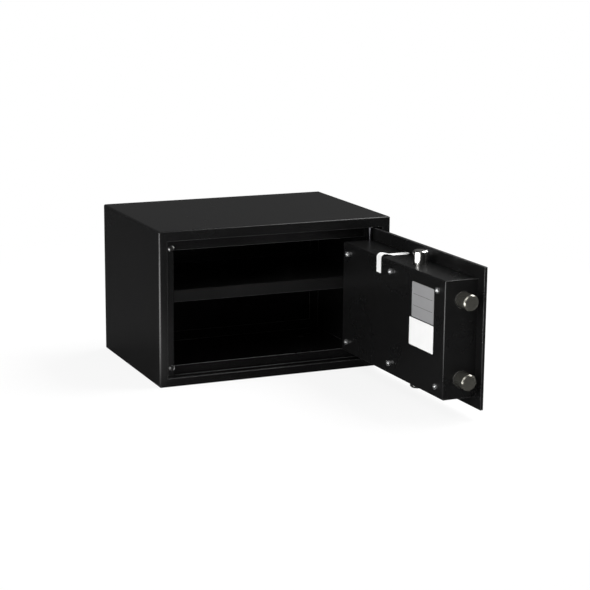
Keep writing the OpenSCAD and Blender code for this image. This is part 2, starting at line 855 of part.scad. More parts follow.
// Moulded housing for the keypad, knob, lock and batteries
module keypad_housing() {
    inner_w = housing_w - 2 * housing_t;
    inner_h = housing_h - 2 * housing_t;
    color(dark) on_door()
        difference() {
            union() {
                difference() {
                    translate([housing_u0, face_d, housing_b])
                        round_cap(housing_w, housing_h, housing_d, housing_r, housing_edge);
                    plate(face_d + housing_t, cut)
                        translate([housing_u0 + housing_t, housing_b + housing_t])
                            round_rect(inner_w, inner_h, housing_r - housing_t);
                }
                for (p = housing_boss)
                    pin(p[0], p[1], face_d + cut, 0, boss_d + 3);
                for (p = board_boss)
                    pin(p[0], p[1], face_d + cut, board_d, boss_d);
                for (u = [drawer_u0 - gap_slide - drawer_rib, drawer_u0 + drawer_w + gap_slide])
                    translate([u, face_d + cut, housing_b + cut])
                        cube([drawer_rib, housing_d - cut, drawer_h + cut]);
                pin(pinion_u, mid_z, face_d - knob_plinth_h, face_d + cut, knob_d + 2 * knob_plinth);
                pin(pinion_u, mid_z, face_d + cut, 0, bush_d + boss_d);
            }
            for (row = [0:3], col = [0:2])
                plate(face_d - cut, face_d + housing_t + cut)
                    translate([key_u[col] - key_w / 2 - gap_slide, key_z[row] - key_h / 2 - gap_slide])
                        round_rect(key_w + 2 * gap_slide, key_h + 2 * gap_slide, key_r + gap_slide);
            plate(face_d - cut, face_d + housing_t + cut)
                translate([key_u[1] - window_w / 2, window_z - window_h / 2])
                    round_rect(window_w, window_h, 2);
            pin(pinion_u, mid_z, face_d - knob_plinth_h - cut, cut, spindle_d + 1);
            pin(lock_u, lock_z, face_d - cut, cut, barrel_d + screw_play);
            pin(lock_u, override_pivot_z, face_d - cut, face_d + housing_t + cut,
                screw_d + 2 * fit_tight);
            translate([drawer_u0 - gap_slide, face_d + housing_t, housing_b - cut])
                cube([drawer_w + 2 * gap_slide, housing_d - housing_t + cut, housing_t + 2 * cut]);
            for (p = housing_boss)
                pin(p[0], p[1], -housing_screw - cut, cut, screw_d + 2 * fit_tight);
        }
}

// Screws through the door plate into the housing's bosses
module housing_screws() {
    color(zinc) on_door()
        for (p = housing_boss) {
            pin(p[0], p[1], -housing_screw, door_t, screw_d);
            pin(p[0], p[1], door_t, door_t + screw_head_t, 2 * screw_d);
        }
}

// Rubber mat with a dome under each key
module key_mat() {
    color([0.2, 0.2, 0.22]) on_door()
        difference() {
            union() {
                plate(board_d - mat_t, board_d)
                    translate([board_u[0] + 1, key_z[3] - key_h / 2 - 1])
                        round_rect(board_u[1] - board_u[0] - 2, key_z[0] - key_z[3] + key_h + 2, 2);
                for (u = key_u, z = key_z)
                    pin(u, z, board_d - mat_t - dome_h, board_d - mat_t / 2, dome_d);
            }
            for (p = board_boss)
                pin(p[0], p[1], board_d - mat_t - cut, board_d + cut, boss_d + 1);
        }
}

module keypad_board() {
    color([0.05, 0.3, 0.12]) on_door()
        plate(board_d, board_d + board_t)
            translate([board_u[0], board_z[0]])
                square([board_u[1] - board_u[0], board_z[1] - board_z[0]]);
}

module display_module() {
    color([0.1, 0.1, 0.1]) on_door()
        plate(face_d + housing_t + 1.2, board_d)
            translate([key_u[1] - window_w / 2 + 2, window_z - window_h / 2])
                square([window_w - 4, window_h]);
}

// Window that fills the housing's opening, with a rim behind it
module display_window() {
    pane_w = window_w - 2 * window_play;
    pane_h = window_h - 2 * window_play;
    rim_w = window_w + 2 * window_rim;
    rim_h = window_h + 2 * window_rim;
    color([0.25, 0.03, 0.03]) on_door() {
        plate(face_d + 0.2, face_d + housing_t)
            translate([key_u[1] - pane_w / 2, window_z - pane_h / 2])
                round_rect(pane_w, pane_h, 2 - window_play);
        plate(face_d + housing_t, face_d + housing_t + 1)
            translate([key_u[1] - rim_w / 2, window_z - rim_h / 2]) round_rect(rim_w, rim_h, 2);
    }
}

// Shouldered rivet that the override cover swings on
module cover_pivot() {
    front = override_d0 - override_gap;
    color(steel) on_door() {
        pin(lock_u, override_pivot_z, front, face_d + housing_t + 1.5, screw_d);
        pin(lock_u, override_pivot_z, front - 1, front, 2 * screw_d);
        pin(lock_u, override_pivot_z, face_d + housing_t, face_d + housing_t + 1.5, screw_d + 3);
    }
}

// Half the angle of a pinion tooth at radius r
function roll(r) = let (a = acos(min(1, gear_base / r))) tan(a) * 180 / PI - a;
function tooth_half(r) = 90 / gear_n - backlash / 2 / gear_r * 180 / PI / 2 + roll(gear_r) - roll(r);

// Outline of the pinion, with involute flanks and a tooth pointing along +x
module pinion_2d() {
    root = gear_r - tooth_root;
    polygon([
        for (t = [0:gear_n - 1])
            let (mid = 360 * t / gear_n)
                each concat(
                    [polar(root, mid - tooth_half(gear_base))],
                    [for (r = flank_r) polar(r, mid - tooth_half(r))],
                    [for (i = [len(flank_r) - 1:-1:0]) polar(flank_r[i], mid + tooth_half(flank_r[i]))],
                    [polar(root, mid + tooth_half(gear_base))])
    ]);
}
function polar(r, a) = [r * cos(a), r * sin(a)];

// Rack teeth pointing along +y, with a gap at x = 0 and the pitch line at y = 0
module rack_2d(first, last, back) {
    half = tooth_pitch / 4 - backlash / 4;
    lean = tan(pressure_angle);
    foot = half + lean * tooth_root;
    tip = half - lean * tooth_top;
    start = first * tooth_pitch;
    end = (last + 1) * tooth_pitch;
    polygon([
        [end, -tooth_root - back], [end, -tooth_root],
        for (i = [last:-1:first])
            let (mid = (i + 0.5) * tooth_pitch)
                each [[mid + foot, -tooth_root], [mid + tip, tooth_top],
                      [mid - tip, tooth_top], [mid - foot, -tooth_root]],
        [start, -tooth_root], [start, -tooth_root - back]
    ]);
}

// Plate that joins the horizontal bolts, with the rack below the pinion and the plunger's notch
module carriage_plate() {
    ear = bolt_d / 2 - 3;
    color(zinc) on_door()
        difference() {
            plate(carriage_d0, carriage_d0 + bar_t)
                difference() {
                    union() {
                        translate([strip_u0, bolt_z[0] - ear])
                            square([strip_u1 - strip_u0, bolt_z[1] - bolt_z[0] + 2 * ear]);
                        for (z = bolt_z)
                            translate([bolt_end - bolt_flat + 0.5, z - ear])
                                square([strip_u1 - bolt_end + bolt_flat - 0.5, 2 * ear]);
                        translate([strip_u1 - 1, arm_low])
                            square([arm_end - strip_u1 + 1, arm_top - arm_low]);
                        translate([pinion_u, mid_z - gear_r]) rack_2d(-8, 1, rack_back);
                    }
                    for (p = carriage_post)
                        translate([0, p[1]]) slot_2d(p[0] - throw, p[0], slot_r);
                    translate([solenoid_u - plunger_d / 2 - 1, plunger_tip - plunger_throw - 2])
                        square([plunger_d + 2, plunger_throw + 5]);
                }
            for (z = bolt_z, u = carriage_screw_u)
                pin(u, z, carriage_d0 - cut, carriage_d0 + bar_t + cut, screw_d + 2 * fit_tight);
        }
}

// Two round bolts with bevelled tips and a flat for the carriage
module horizontal_bolts() {
    color(steel) on_door()
        for (z = bolt_z)
            difference() {
                translate([bolt_tip, bolt_depth, z]) bar_along_x(bolt_len, bolt_d, bolt_chamfer);
                translate([bolt_end - bolt_flat, carriage_d0, z - bolt_d])
                    cube([bolt_len, bolt_d, 2 * bolt_d]);
                for (u = carriage_screw_u)
                    pin(u, z, carriage_d0 - 8, carriage_d0 + cut, screw_d + 2 * fit_tight);
            }
}

module carriage_screws() {
    head0 = carriage_d0 + bar_t;
    color(steel) on_door()
        for (z = bolt_z, u = carriage_screw_u) {
            pin(u, z, carriage_d0 - 7, head0, screw_d);
            pin(u, z, head0, head0 + screw_head_t, screw_d + 3.5);
        }
}

// Upright bar with its rack beside the pinion; side is 1 for the top bolt and -1 for the bottom one
module bolt_bar(side, bolt_inner, flat) {
    outer = bar_u + bar_w / 2;
    tail = 2 * tooth_pitch;
    flip = side > 0 ? 0 : 1;
    translate([pinion_u, 0, mid_z]) mirror([0, 0, flip]) mirror([flip, 0, 0])
        difference() {
            plate(bar_d0, bar_d1)
                difference() {
                    union() {
                        translate([-outer, -tail]) square([bar_w, bolt_inner + flat + tail]);
                        translate([-outer, bolt_inner]) square([outer + vbolt_d / 2 - 2, flat]);
                        translate([-gear_r, 0]) rotate(-90) rack_2d(-7, 1, rack_back);
                    }
                    translate([-bar_u, 0]) rotate(90) slot_2d(0, throw, slot_r);
                }
            for (u = [-peg_u, peg_u])
                pin(u, bolt_inner + flat / 2, bar_d0 - cut, bar_d1 + cut, peg_d + 2 * fit_tight);
        }
}

// Upright bolt with a bevelled tip, a flat for its bar and two riveted pegs
module upright_bolt(side, inner, len, flat) {
    translate([pinion_u, 0, mid_z]) mirror([0, 0, side > 0 ? 0 : 1]) {
        difference() {
            translate([0, vbolt_depth, inner]) {
                cylinder(d = vbolt_d, h = len - bolt_chamfer);
                translate([0, 0, len - bolt_chamfer])
                    cylinder(d1 = vbolt_d, d2 = vbolt_d - 2 * bolt_chamfer, h = bolt_chamfer);
            }
            translate([-vbolt_d, bar_d1 - vbolt_d, inner - cut])
                cube([2 * vbolt_d, vbolt_d, flat + cut]);
        }
        for (u = [-peg_u, peg_u])
            pin(u, inner + flat / 2, bar_d0 - 0.8, bar_d1 + 1, peg_d);
    }
}

module top_bar() {
    color(zinc) on_door() bolt_bar(1, top_inner, top_flat);
}

module top_bolt() {
    color(steel) on_door() upright_bolt(1, top_inner, top_len, top_flat);
}

module bottom_bar() {
    color(zinc) on_door() bolt_bar(-1, bottom_inner, bottom_flat);
}

module bottom_bolt() {
    color(steel) on_door() upright_bolt(-1, bottom_inner, bottom_len, bottom_flat);
}

// Knob with finger hollows round its skirt
module knob() {
    base = face_d - knob_plinth_h - 0.5;
    hollow_n = 6;
    hollow_r = 9;
    mark_l = 9;
    color(dark) on_door()
        translate([pinion_u, base, mid_z]) rotate([90, 0, 0])
            difference() {
                rotate_extrude()
                    polygon([[0, 0], [knob_d / 2, 0], [knob_d / 2, 4], [knob_d / 2 - 2, 6],
                             [knob_d / 2 - 3.5, knob_h - 3], [knob_d / 2 - 6, knob_h], [0, knob_h]]);
                for (i = [0:hollow_n - 1])
                    rotate([0, 0, 360 * i / hollow_n])
                        translate([knob_d / 2 + hollow_r - 5, 0, 7]) cylinder(r = hollow_r, h = knob_h);
                translate([-0.6, knob_d / 2 - 7 - mark_l, knob_h - 0.6]) cube([1.2, mark_l, cut]);
                translate([0, 0, -cut])
                    cylinder(d = spindle_d + 2 * fit_tight, h = spindle_in - 1 + cut);
            }
}

module knob_spindle() {
    color(steel) on_door()
        difference() {
            pin(pinion_u, mid_z, face_d - spindle_in, pinion_d1 + 3, spindle_d);
            difference() {
                pin(pinion_u, mid_z, pinion_d1, pinion_d1 + clip_t + 2 * clip_play, spindle_d + cut);
                pin(pinion_u, mid_z, pinion_d1 - cut, pinion_d1 + 2, spindle_d - 2 * clip_groove);
            }
        }
}

module pinion() {
    color([0.6, 0.6, 0.62]) on_door()
        difference() {
            plate(pinion_d0, pinion_d1) translate([pinion_u, mid_z]) pinion_2d();
            pin(pinion_u, mid_z, pinion_d0 - cut, pinion_d1 + cut, spindle_d + 2 * fit_tight);
        }
}

// Open ring that keeps the pinion on its spindle
module spindle_clip() {
    color([0.3, 0.3, 0.32]) on_door()
        plate(pinion_d1 + clip_play, pinion_d1 + clip_play + clip_t)
            translate([pinion_u, mid_z])
                difference() {
                    circle(d = spindle_d + 6);
                    circle(d = spindle_d - 2 * clip_groove + 2 * fit_tight);
                    translate([-1.5, 0]) square([3, spindle_d]);
                }
}

module plunger() {
    color(steel) on_door()
        translate([solenoid_u, plunger_depth, 0]) {
            translate([0, 0, plunger_tip]) cylinder(d1 = plunger_d - 1, d2 = plunger_d, h = 0.5);
            translate([0, 0, plunger_tip + 0.5])
                cylinder(d = plunger_d, h = coil_z + coil_h * 0.8 - plunger_tip);
            translate([0, 0, collar_z]) cylinder(d = collar_d, h = collar_t);
        }
}

// Spring that pushes the plunger out: one wire swept along a helix
function helix(t) = [
    spring_r * cos(360 * t), spring_r * sin(360 * t),
    wire_d / 2 + spring_play + (spring_len - wire_d - 2 * spring_play) * t / spring_turns
];
function ring_point(t, a) = helix(t)
    + wire_d / 2 * (cos(a) * [cos(360 * t), sin(360 * t), 0] + sin(a) * [0, 0, 1]);
module plunger_spring() {
    rings = spring_turns * rings_per_turn;
    points = [for (i = [0:rings], j = [0:wire_sides - 1])
        ring_point(i / rings_per_turn, 360 * j / wire_sides)];
    walls = [for (i = [0:rings - 1], j = [0:wire_sides - 1])
        let (a = i * wire_sides + j, b = i * wire_sides + (j + 1) % wire_sides)
            each [[a, b, b + wire_sides], [a, b + wire_sides, a + wire_sides]]];
    ends = [[for (j = [wire_sides - 1:-1:0]) j], [for (j = [0:wire_sides - 1]) rings * wire_sides + j]];
    color(steel) on_door()
        translate([solenoid_u, plunger_depth, collar_z + collar_t])
            polyhedron(points, concat(walls, ends));
}

// Plug that the override key turns, with its tail behind the barrel
module lock_plug() {
    color([0.8, 0.8, 0.82]) on_door()
        difference() {
            union() {
                pin(lock_u, lock_z, face_d - 1, cam_d0 - 1, plug_d);
                pin(lock_u, lock_z, cam_d0 - 1.01, cam_d0 + cam_t + cam_nut_t + 0.3, plug_tail);
            }
            translate([lock_u - keyhole_w / 2, face_d - 2, lock_z - keyhole_h / 2])
                cube([keyhole_w, 14, keyhole_h]);
        }
}

module lock_cam() {
    color(zinc) on_door()
        plate(cam_d0, cam_d0 + cam_t)
            translate([lock_u, lock_z]) rotate(-90)
                difference() {
                    union() {
                        circle(d = cam_w + 4);
                        slot_2d(0, cam_reach - cam_w / 2, cam_w / 2);
                    }
                    circle(d = plug_tail + 2 * fit_tight);
                }
}

module cam_nut() {
    color(zinc) on_door()
        difference() {
            translate([lock_u, cam_d0 + cam_t, lock_z]) rotate([-90, 0, 0])
                cylinder(d = plug_d, h = cam_nut_t, $fn = 6);
            pin(lock_u, lock_z, cam_d0 + cam_t - cut, cam_d0 + cam_t + 3, plug_tail + 2 * fit_tight);
        }
}

// Drop-shaped cover that swings aside from the override lock
module override_cover() {
    color(dark) on_door()
        plate(override_d0, override_d0 + override_t)
            difference() {
                translate([lock_u, 0])
                    union() {
                        translate([0, lock_z]) circle(d = barrel_d + 10);
                        translate([0, override_pivot_z]) circle(d = override_head);
                        translate([-override_head / 2, lock_z])
                            square([override_head, override_pivot_z - lock_z]);
                    }
                translate([lock_u, override_pivot_z]) circle(d = screw_d + 2 * fit_run);
            }
}

// Drawer in the housing's lower edge, open to the door, with a groove to pull it out by
module battery_drawer() {
    color(dark) on_door()
        translate([drawer_u0, face_d + housing_t + gap_slide, housing_b])
            difference() {
                cube([drawer_w, housing_d - housing_t - 2 * gap_slide, drawer_h]);
                translate([drawer_wall, drawer_wall, drawer_wall])
                    cube([drawer_w - 2 * drawer_wall, housing_d, drawer_h - 2 * drawer_wall]);
                translate([(drawer_w - nail_w) / 2, (housing_d - housing_t - nail_d) / 2, -cut])
                    cube([nail_w, nail_d, nail_t + cut]);
            }
}

module batteries() {
    color([0.75, 0.6, 0.25]) on_door()
        for (i = [0, 1], j = [0, 1])
            translate([drawer_u0 + drawer_wall + 0.3 + i * (battery_l + 0.2),
                       face_d + housing_t + gap_slide + drawer_wall + battery_d / 2,
                       housing_b + drawer_wall + 0.3 + battery_d / 2 + j * (battery_d + 0.2)])
                rotate([0, 90, 0]) {
                    cylinder(d = battery_d, h = battery_l - battery_tip);
                    cylinder(d = 5.5, h = battery_l);
                }
}

// One key: a cap with a rounded rim and a lip that the housing holds back
module key(col, row) {
    color([0.35, 0.36, 0.38]) on_door()
        translate([key_u[col], 0, key_z[row]]) {
            translate([-key_w / 2, face_d - key_out, -key_h / 2])
                round_cap(key_w, key_h, key_back - face_d + key_out, key_r, key_edge);
            plate(key_back - key_lip, key_back)
                translate([-key_w / 2 - key_lip, -key_h / 2 - key_lip])
                    round_rect(key_w + 2 * key_lip, key_h + 2 * key_lip, key_r);
        }
}

body_wrap();
back_panel();
front_frame();
strike_strip();
door_buffers();
hinge_bushes();
shelf();
shelf_rails();
door_plate();
hinge_lugs();
hinge_rod();
thrust_washer();
lock_cover();
bolt_guides();
guide_posts();
cover_studs();
cover_nuts();
spindle_bush();
solenoid_coil();
solenoid_frame();
lock_barrel();
lock_nut();
keypad_housing();
housing_screws();
key_mat();
keypad_board();
display_module();
display_window();
cover_pivot();
carriage_plate();
horizontal_bolts();
carriage_screws();
top_bar();
top_bolt();
bottom_bar();
bottom_bolt();
knob();
knob_spindle();
pinion();
spindle_clip();
plunger();
plunger_spring();
lock_plug();
lock_cam();
cam_nut();
override_cover();
battery_drawer();
batteries();
for (row = [0:3], col = [0:2])
    key(col, row);
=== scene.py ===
# %% [markdown]
# # An electronic safe, open
# The frame holds every steel and plastic piece at its true size. This file
# gives each piece its finish, remakes the pieces that show most with softer
# edges and finer detail, and sets up a plain studio round them.

# %% Load the frame
import json
from math import pi, radians

import bmesh
import bpy
from mathutils import Matrix, Vector

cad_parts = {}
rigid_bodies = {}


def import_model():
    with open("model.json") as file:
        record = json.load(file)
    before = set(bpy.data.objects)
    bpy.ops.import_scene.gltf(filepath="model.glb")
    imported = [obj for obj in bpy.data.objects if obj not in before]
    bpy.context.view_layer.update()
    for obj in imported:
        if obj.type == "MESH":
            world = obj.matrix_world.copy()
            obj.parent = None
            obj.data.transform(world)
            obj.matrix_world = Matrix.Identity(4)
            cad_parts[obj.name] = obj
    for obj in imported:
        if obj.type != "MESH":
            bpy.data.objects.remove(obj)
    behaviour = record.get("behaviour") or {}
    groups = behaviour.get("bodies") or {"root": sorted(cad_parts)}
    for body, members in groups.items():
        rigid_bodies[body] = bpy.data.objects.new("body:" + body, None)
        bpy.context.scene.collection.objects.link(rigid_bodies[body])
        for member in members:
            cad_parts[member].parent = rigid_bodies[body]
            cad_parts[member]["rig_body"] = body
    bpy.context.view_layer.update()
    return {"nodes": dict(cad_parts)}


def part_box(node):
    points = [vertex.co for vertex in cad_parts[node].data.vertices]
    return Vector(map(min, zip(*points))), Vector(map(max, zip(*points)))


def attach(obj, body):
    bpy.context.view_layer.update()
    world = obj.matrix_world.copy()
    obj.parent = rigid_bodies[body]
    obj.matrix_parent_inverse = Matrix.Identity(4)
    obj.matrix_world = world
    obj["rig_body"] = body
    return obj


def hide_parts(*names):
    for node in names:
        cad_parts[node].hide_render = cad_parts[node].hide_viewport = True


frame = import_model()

# %% [markdown]
# ## Sums on sockets
# A finish is a small calculation: more here, less there, stronger near an
# edge. Written as Python sums it reads like one. The class below wraps one
# output socket. A sum on two of them adds a Math node, and any other node
# comes from its method called node.

# %% Sockets in sums
class Wire:
    """One output socket of a material's tree."""

    def __init__(self, tree, socket=None):
        self.tree = tree
        self.socket = socket

    def node(self, kind, settings={}, sockets={}, output=0):
        """A new node: its settings first, then the values or links of its sockets."""
        made = self.tree.nodes.new("ShaderNode" + kind)
        for name, value in settings.items():
            setattr(made, name, value)
        for name, value in sockets.items():
            if isinstance(value, Wire):
                self.tree.links.new(value.socket, made.inputs[name])
            else:
                made.inputs[name].default_value = value
        return Wire(self.tree, made.outputs[output])

    def math(self, operation, *values):
        return self.node("Math", {"operation": operation}, dict(enumerate(values)))

    def vector(self, operation, *values, output=0):
        return self.node("VectorMath", {"operation": operation}, dict(enumerate(values)), output)

    def __add__(self, other):
        return self.math("ADD", self, other)

    def __sub__(self, other):
        return self.math("SUBTRACT", self, other)

    def __rsub__(self, other):
        return self.math("SUBTRACT", other, self)

    def __mul__(self, other):
        return self.math("MULTIPLY", self, other)

    def __lt__(self, other):
        return self.math("LESS_THAN", self, other)

    def __gt__(self, other):
        return self.math("GREATER_THAN", self, other)

    __radd__ = __add__
    __rmul__ = __mul__

    def size(self):
        return self.math("ABSOLUTE", self)

    def ramp(self, low, high, start=0.0, end=1.0):
        """Goes from start to end, evenly, while this value goes from low to high."""
        return self.node("MapRange", {}, {0: self, 1: low, 2: high, 3: start, 4: end})

    def colour(self, first, second):
        """The first colour where this value is 0, the second where it is 1."""
        pair = [c if isinstance(c, Wire) else (*c, 1) for c in (first, second)]
        return self.node("Mix", {"data_type": "RGBA"}, {0: self, 6: pair[0], 7: pair[1]}, 2)


print("sockets can be added, subtracted, multiplied and compared")

# %% [markdown]
# ## A finish and its parts
# Every finish starts in the same way: a material with its fixed numbers set
# on the shader, and the surface's place in metres, from the object's own
# coordinates. Clouds of noise at a true size then vary the colour, the
# roughness and the height, because no real surface is the same all over.

# %% Start a finish
finishes = {}


def start_finish(name, fixed):
    """A new material: its shader, and a wire that holds the surface's place."""
    made = bpy.data.materials.new(name)
    made.use_nodes = True
    shader = made.node_tree.nodes["Principled BSDF"]
    for socket, value in fixed.items():
        shader.inputs[socket].default_value = value
    finishes[name] = made
    return shader, Wire(made.node_tree).node("TexCoord", output="Object")


def feed(shader, socket, wire):
    wire.tree.links.new(wire.socket, shader.inputs[socket])


def cloud(place, size, detail=2.0, stretch=None):
    """Noise from 0 to 1 with spots of that size in metres."""
    if stretch:
        place = place.node("Mapping", {}, {"Vector": place, "Scale": stretch})
    return place.node("TexNoise", {}, {"Vector": place, "Scale": 1 / size, "Detail": detail})


def raise_surface(shader, height, depth, edge=None):
    """Lifts the surface by height times depth in metres, over the rounded edge if there is one."""
    sockets = {"Height": height, "Distance": depth}
    if edge:
        sockets["Normal"] = edge
    feed(shader, "Normal", height.node("Bump", {}, sockets))


def soft_edge(place, radius):
    """The direction of a surface whose edges are rounded to that radius, and a mask that is 1 on those edges,
    which the finishes use to paint edge highlights.
    """
    edge = place.node("Bevel", {"samples": 8}, {"Radius": radius})
    flat = place.node("NewGeometry", output="Normal")
    return edge, edge.vector("DOT_PRODUCT", edge, flat, output=1).ramp(0.995, 0.9)


print("a finish can be started")

# %% [markdown]
# ## Powder coat
# The case and the door are sheet steel with a baked black powder coat. The
# powder melts into a film with a fine orange-peel ripple, about a millimetre
# and a half from crest to crest. A ripple in the height gives the broken
# sheen. A mask that finds the edges paints them paler and makes them smoother:
# a painted highlight, which draws the pale lines along the edges of the black
# steel. The door's coat is a lighter copy of the case's, painted lighter to
# stand in for light that the door's faces lack. The shelf is coated with a
# duller, greyer powder than the case.

# %% Black powder coat
def powder_coat(name, dark, light, edge_highlight_grey, smooth, ripples):
    shader, place = start_finish(name, {"Specular IOR Level": 0.32, "IOR": 1.45})
    drift = cloud(place, 0.07, 4)
    ripple = cloud(place, 0.0015, 1)
    dust = cloud(place, 0.0004, 2).ramp(0.72, 0.8)
    edge, painted_edge_highlight = soft_edge(place, 0.0011)
    film = drift.colour((dark,) * 3, (light, light, light * 1.03))
    film = (dust * 0.25).colour(film, (0.06, 0.06, 0.065))
    # Painted highlight: along the rounded edges the colour turns paler.
    feed(shader, "Base Color", (painted_edge_highlight * 0.8).colour(film, (edge_highlight_grey,) * 3))
    feed(shader, "Roughness", smooth + 0.08 * drift - 0.1 * painted_edge_highlight)
    raise_surface(shader, ripple, ripples, edge)


powder_coat("case coat", 0.0035, 0.006, 0.22, 0.22, 0.00004)
powder_coat("shelf coat", 0.009, 0.013, 0.2, 0.3, 0.00004)
# The door coat is a lighter copy of the case coat: painted light for the door's faces.
powder_coat("door coat", 0.0053, 0.0068, 0.2, 0.24, 0.00002)
print("coats:", list(finishes))

# %% [markdown]
# ## Turned steel
# Bolts, the hinge rod, the spindle and the knob's cap come from a lathe. The
# tool leaves rings round the axis: on the side they are lines across it, on
# the end face they are circles. Both come from one cloud that is read at the
# distance along the axis and the distance from it, so the lines run round the
# piece wherever it stands. The hinge rod is given a nearly black steel
# colour.

# %% Steel from a lathe
def turned(name, tint, dull, centre, axis, ring, fold=None, painted_ring_highlight=None, smooth=0.3,
           groove=0.000012, metal_part=1.0):
    """Turned metal round an axis. Fold is a height that two like bolts lie evenly above and below.
    A bright ring, a painted highlight where a bolt leaves the cover's side, has its place along the axis, its
    width and its colour."""
    shader, place = start_finish(name, {"Metallic": metal_part})
    if fold is not None:
        parts = place.node("SeparateXYZ", {}, {0: place})
        xyz = [Wire(parts.tree, socket) for socket in parts.socket.node.outputs]
        place = place.node("CombineXYZ", {}, {0: xyz[0], 1: xyz[1], 2: (xyz[2] - fold).size()})
    out = place.vector("SUBTRACT", place, centre)
    along = out.vector("DOT_PRODUCT", out, axis, output=1)
    across = out.vector("CROSS_PRODUCT", out, axis)
    reach = across.vector("LENGTH", across, output=1)
    lines = place.node("CombineXYZ", {}, {0: along, 1: reach})
    rings = cloud(lines, ring, 3)
    stain = cloud(place, 0.012, 3)
    edge, painted_edge_highlight = soft_edge(place, 0.0005)
    metal = stain.colour(tint, dull)
    metal = (rings.ramp(0.45, 0.7) * 0.35).colour(metal, tuple(0.6 * c for c in dull))
    # Painted highlight: along the rounded edges the metal's colour turns paler.
    metal = (painted_edge_highlight * 0.6).colour(metal, (0.62, 0.62, 0.6))
    if painted_ring_highlight:
        spot, width, bright = painted_ring_highlight
        # Painted highlight: a pale band round the bolt where it leaves the cover's side.
        metal = ((along - spot).size() < width / 2).colour(metal, bright)
    feed(shader, "Base Color", metal)
    feed(shader, "Roughness", smooth + 0.1 * stain + 0.08 * rings)
    raise_surface(shader, rings, groove, edge)


# %% [markdown]
# ## Where the door stands
# The door stands open at 91 degrees. It is easier to think of it as flat: its
# width u from the free edge, its depth d from the outer face, its height z.
# One matrix then turns that into the place where the open door is.

# %% The open door's own directions
hinge = Vector((0.1688, -0.130, 0))
hinge_on_door = Vector((0.3535, 0.010, 0))
open_angle = radians(91)
door_turn = Matrix.Rotation(open_angle, 4, "Z")
door = Matrix.Translation(hinge) @ door_turn @ Matrix.Translation(-hinge_on_door)
door_u = (door_turn @ Vector((1, 0, 0))).to_tuple()
door_d = (door_turn @ Vector((0, 1, 0))).to_tuple()


def on_door(u, d, z):
    """A place on the open door, from its own width, depth and height in millimetres."""
    return door @ Vector((u / 1000, d / 1000, z / 1000))


middle = 0.1221
print("free edge of the door at", [round(x, 3) for x in on_door(0, 0, 1000 * middle)])

# %% Bolts, rod, knob cap and spindle
upright = (0, 0, 1)
from_middle = 0.0598
bolt_axis = on_door(0, 30.5, 0).to_tuple()[:2] + (from_middle,)
# The pale ring is a painted highlight where the bolt leaves the cover's side.
bolt_ring_highlight = (0.0158, 0.0009, (0.8, 0.79, 0.76))
turned("bolt steel", (0.3, 0.293, 0.26), (0.23, 0.226, 0.2), bolt_axis, door_u, 0.00035, middle, bolt_ring_highlight,
       0.15, metal_part=0.9)
knob_u = 142.3
top_axis = on_door(knob_u, 33.4, 0).to_tuple()
turned("upright bolt steel", (0.52, 0.51, 0.49), (0.40, 0.40, 0.385), top_axis, upright, 0.0003, smooth=0.16,
       groove=0.00003)
rod_axis = hinge.to_tuple()
turned("nearly black rod", (0.07, 0.07, 0.075), (0.05, 0.05, 0.055), rod_axis, upright, 0.0004, smooth=0.24)
knob_axis = on_door(knob_u, 0, 1000 * middle).to_tuple()
turned("spun chrome", (0.72, 0.72, 0.73), (0.64, 0.64, 0.66), knob_axis, door_d, 0.00025, smooth=0.1)
turned("spindle steel", (0.5, 0.49, 0.47), (0.4, 0.4, 0.39), knob_axis, door_d, 0.0003, smooth=0.28)
lock_axis = on_door(285, 0, 111.2).to_tuple()
turned("lock brass", (0.78, 0.56, 0.25), (0.62, 0.43, 0.19), lock_axis, door_d, 0.0002, smooth=0.22)
turned("cam steel", (0.5, 0.49, 0.46), (0.41, 0.4, 0.38), lock_axis, door_d, 0.0004, smooth=0.34)
print("turned finishes:", [name for name in finishes if "coat" not in name])

# %% [markdown]
# ## Plated and pressed metal
# The carriage, the rails that it slides between and the solenoid's yoke are
# cut from plate and zinc plated. The plating dries in soft patches with a
# faint yellow and blue cast. Rolling lines in the steel stay visible under
# it, long in one direction. The nuts are bright plated, with small scratches
# from the spanner.

# %% Plate with a rolling grain
def plated(name, warm, cool, smooth, grain, edge_highlight_level=0.7, metal_part=1.0):
    """Plated sheet or bar. Grain is how much each direction is squeezed, 1 across the lines."""
    shader, place = start_finish(name, {"Metallic": metal_part})
    patch = cloud(place, 0.018, 3)
    lines = cloud(place, 0.0006, 2, grain)
    pits = cloud(place, 0.0009, 1).ramp(0.66, 0.74)
    edge, painted_edge_highlight = soft_edge(place, 0.0003)
    metal = patch.colour(warm, cool)
    metal = (pits * 0.4).colour(metal, tuple(0.45 * c for c in cool))
    # Painted highlight: along the rounded edges the colour turns paler.
    feed(shader, "Base Color", (painted_edge_highlight * 0.5).colour(metal, (edge_highlight_level,) * 3))
    feed(shader, "Roughness", smooth + 0.14 * lines + 0.1 * patch)
    raise_surface(shader, lines - 0.5 * pits, 0.00001, edge)


plated("zinc on plate", (0.56, 0.55, 0.47), (0.50, 0.53, 0.58), 0.24, (1, 1, 0.05))
plated("bright nut", (0.68, 0.68, 0.67), (0.58, 0.59, 0.61), 0.13, (1, 1, 1), 0.85, 0.85)
plated("bright screw", (0.56, 0.56, 0.55), (0.48, 0.49, 0.5), 0.2, (1, 1, 1), 0.75, 0.9)
plated("rack steel", (0.36, 0.35, 0.34), (0.29, 0.29, 0.3), 0.3, (1, 1, 0.05), 0.6)
print("plated finishes made")

# %% [markdown]
# ## Plastics and rubber
# The keypad's housing is moulded in a tool with a fine spark-eroded texture,
# so it has a dull, even grain. The knob is the same plastic, polished by
# hands. Keys and mat are silicone rubber, softer to the light and with dust
# in them. One helper makes them all from the size of the grain, its depth
# and how dull the high spots are.

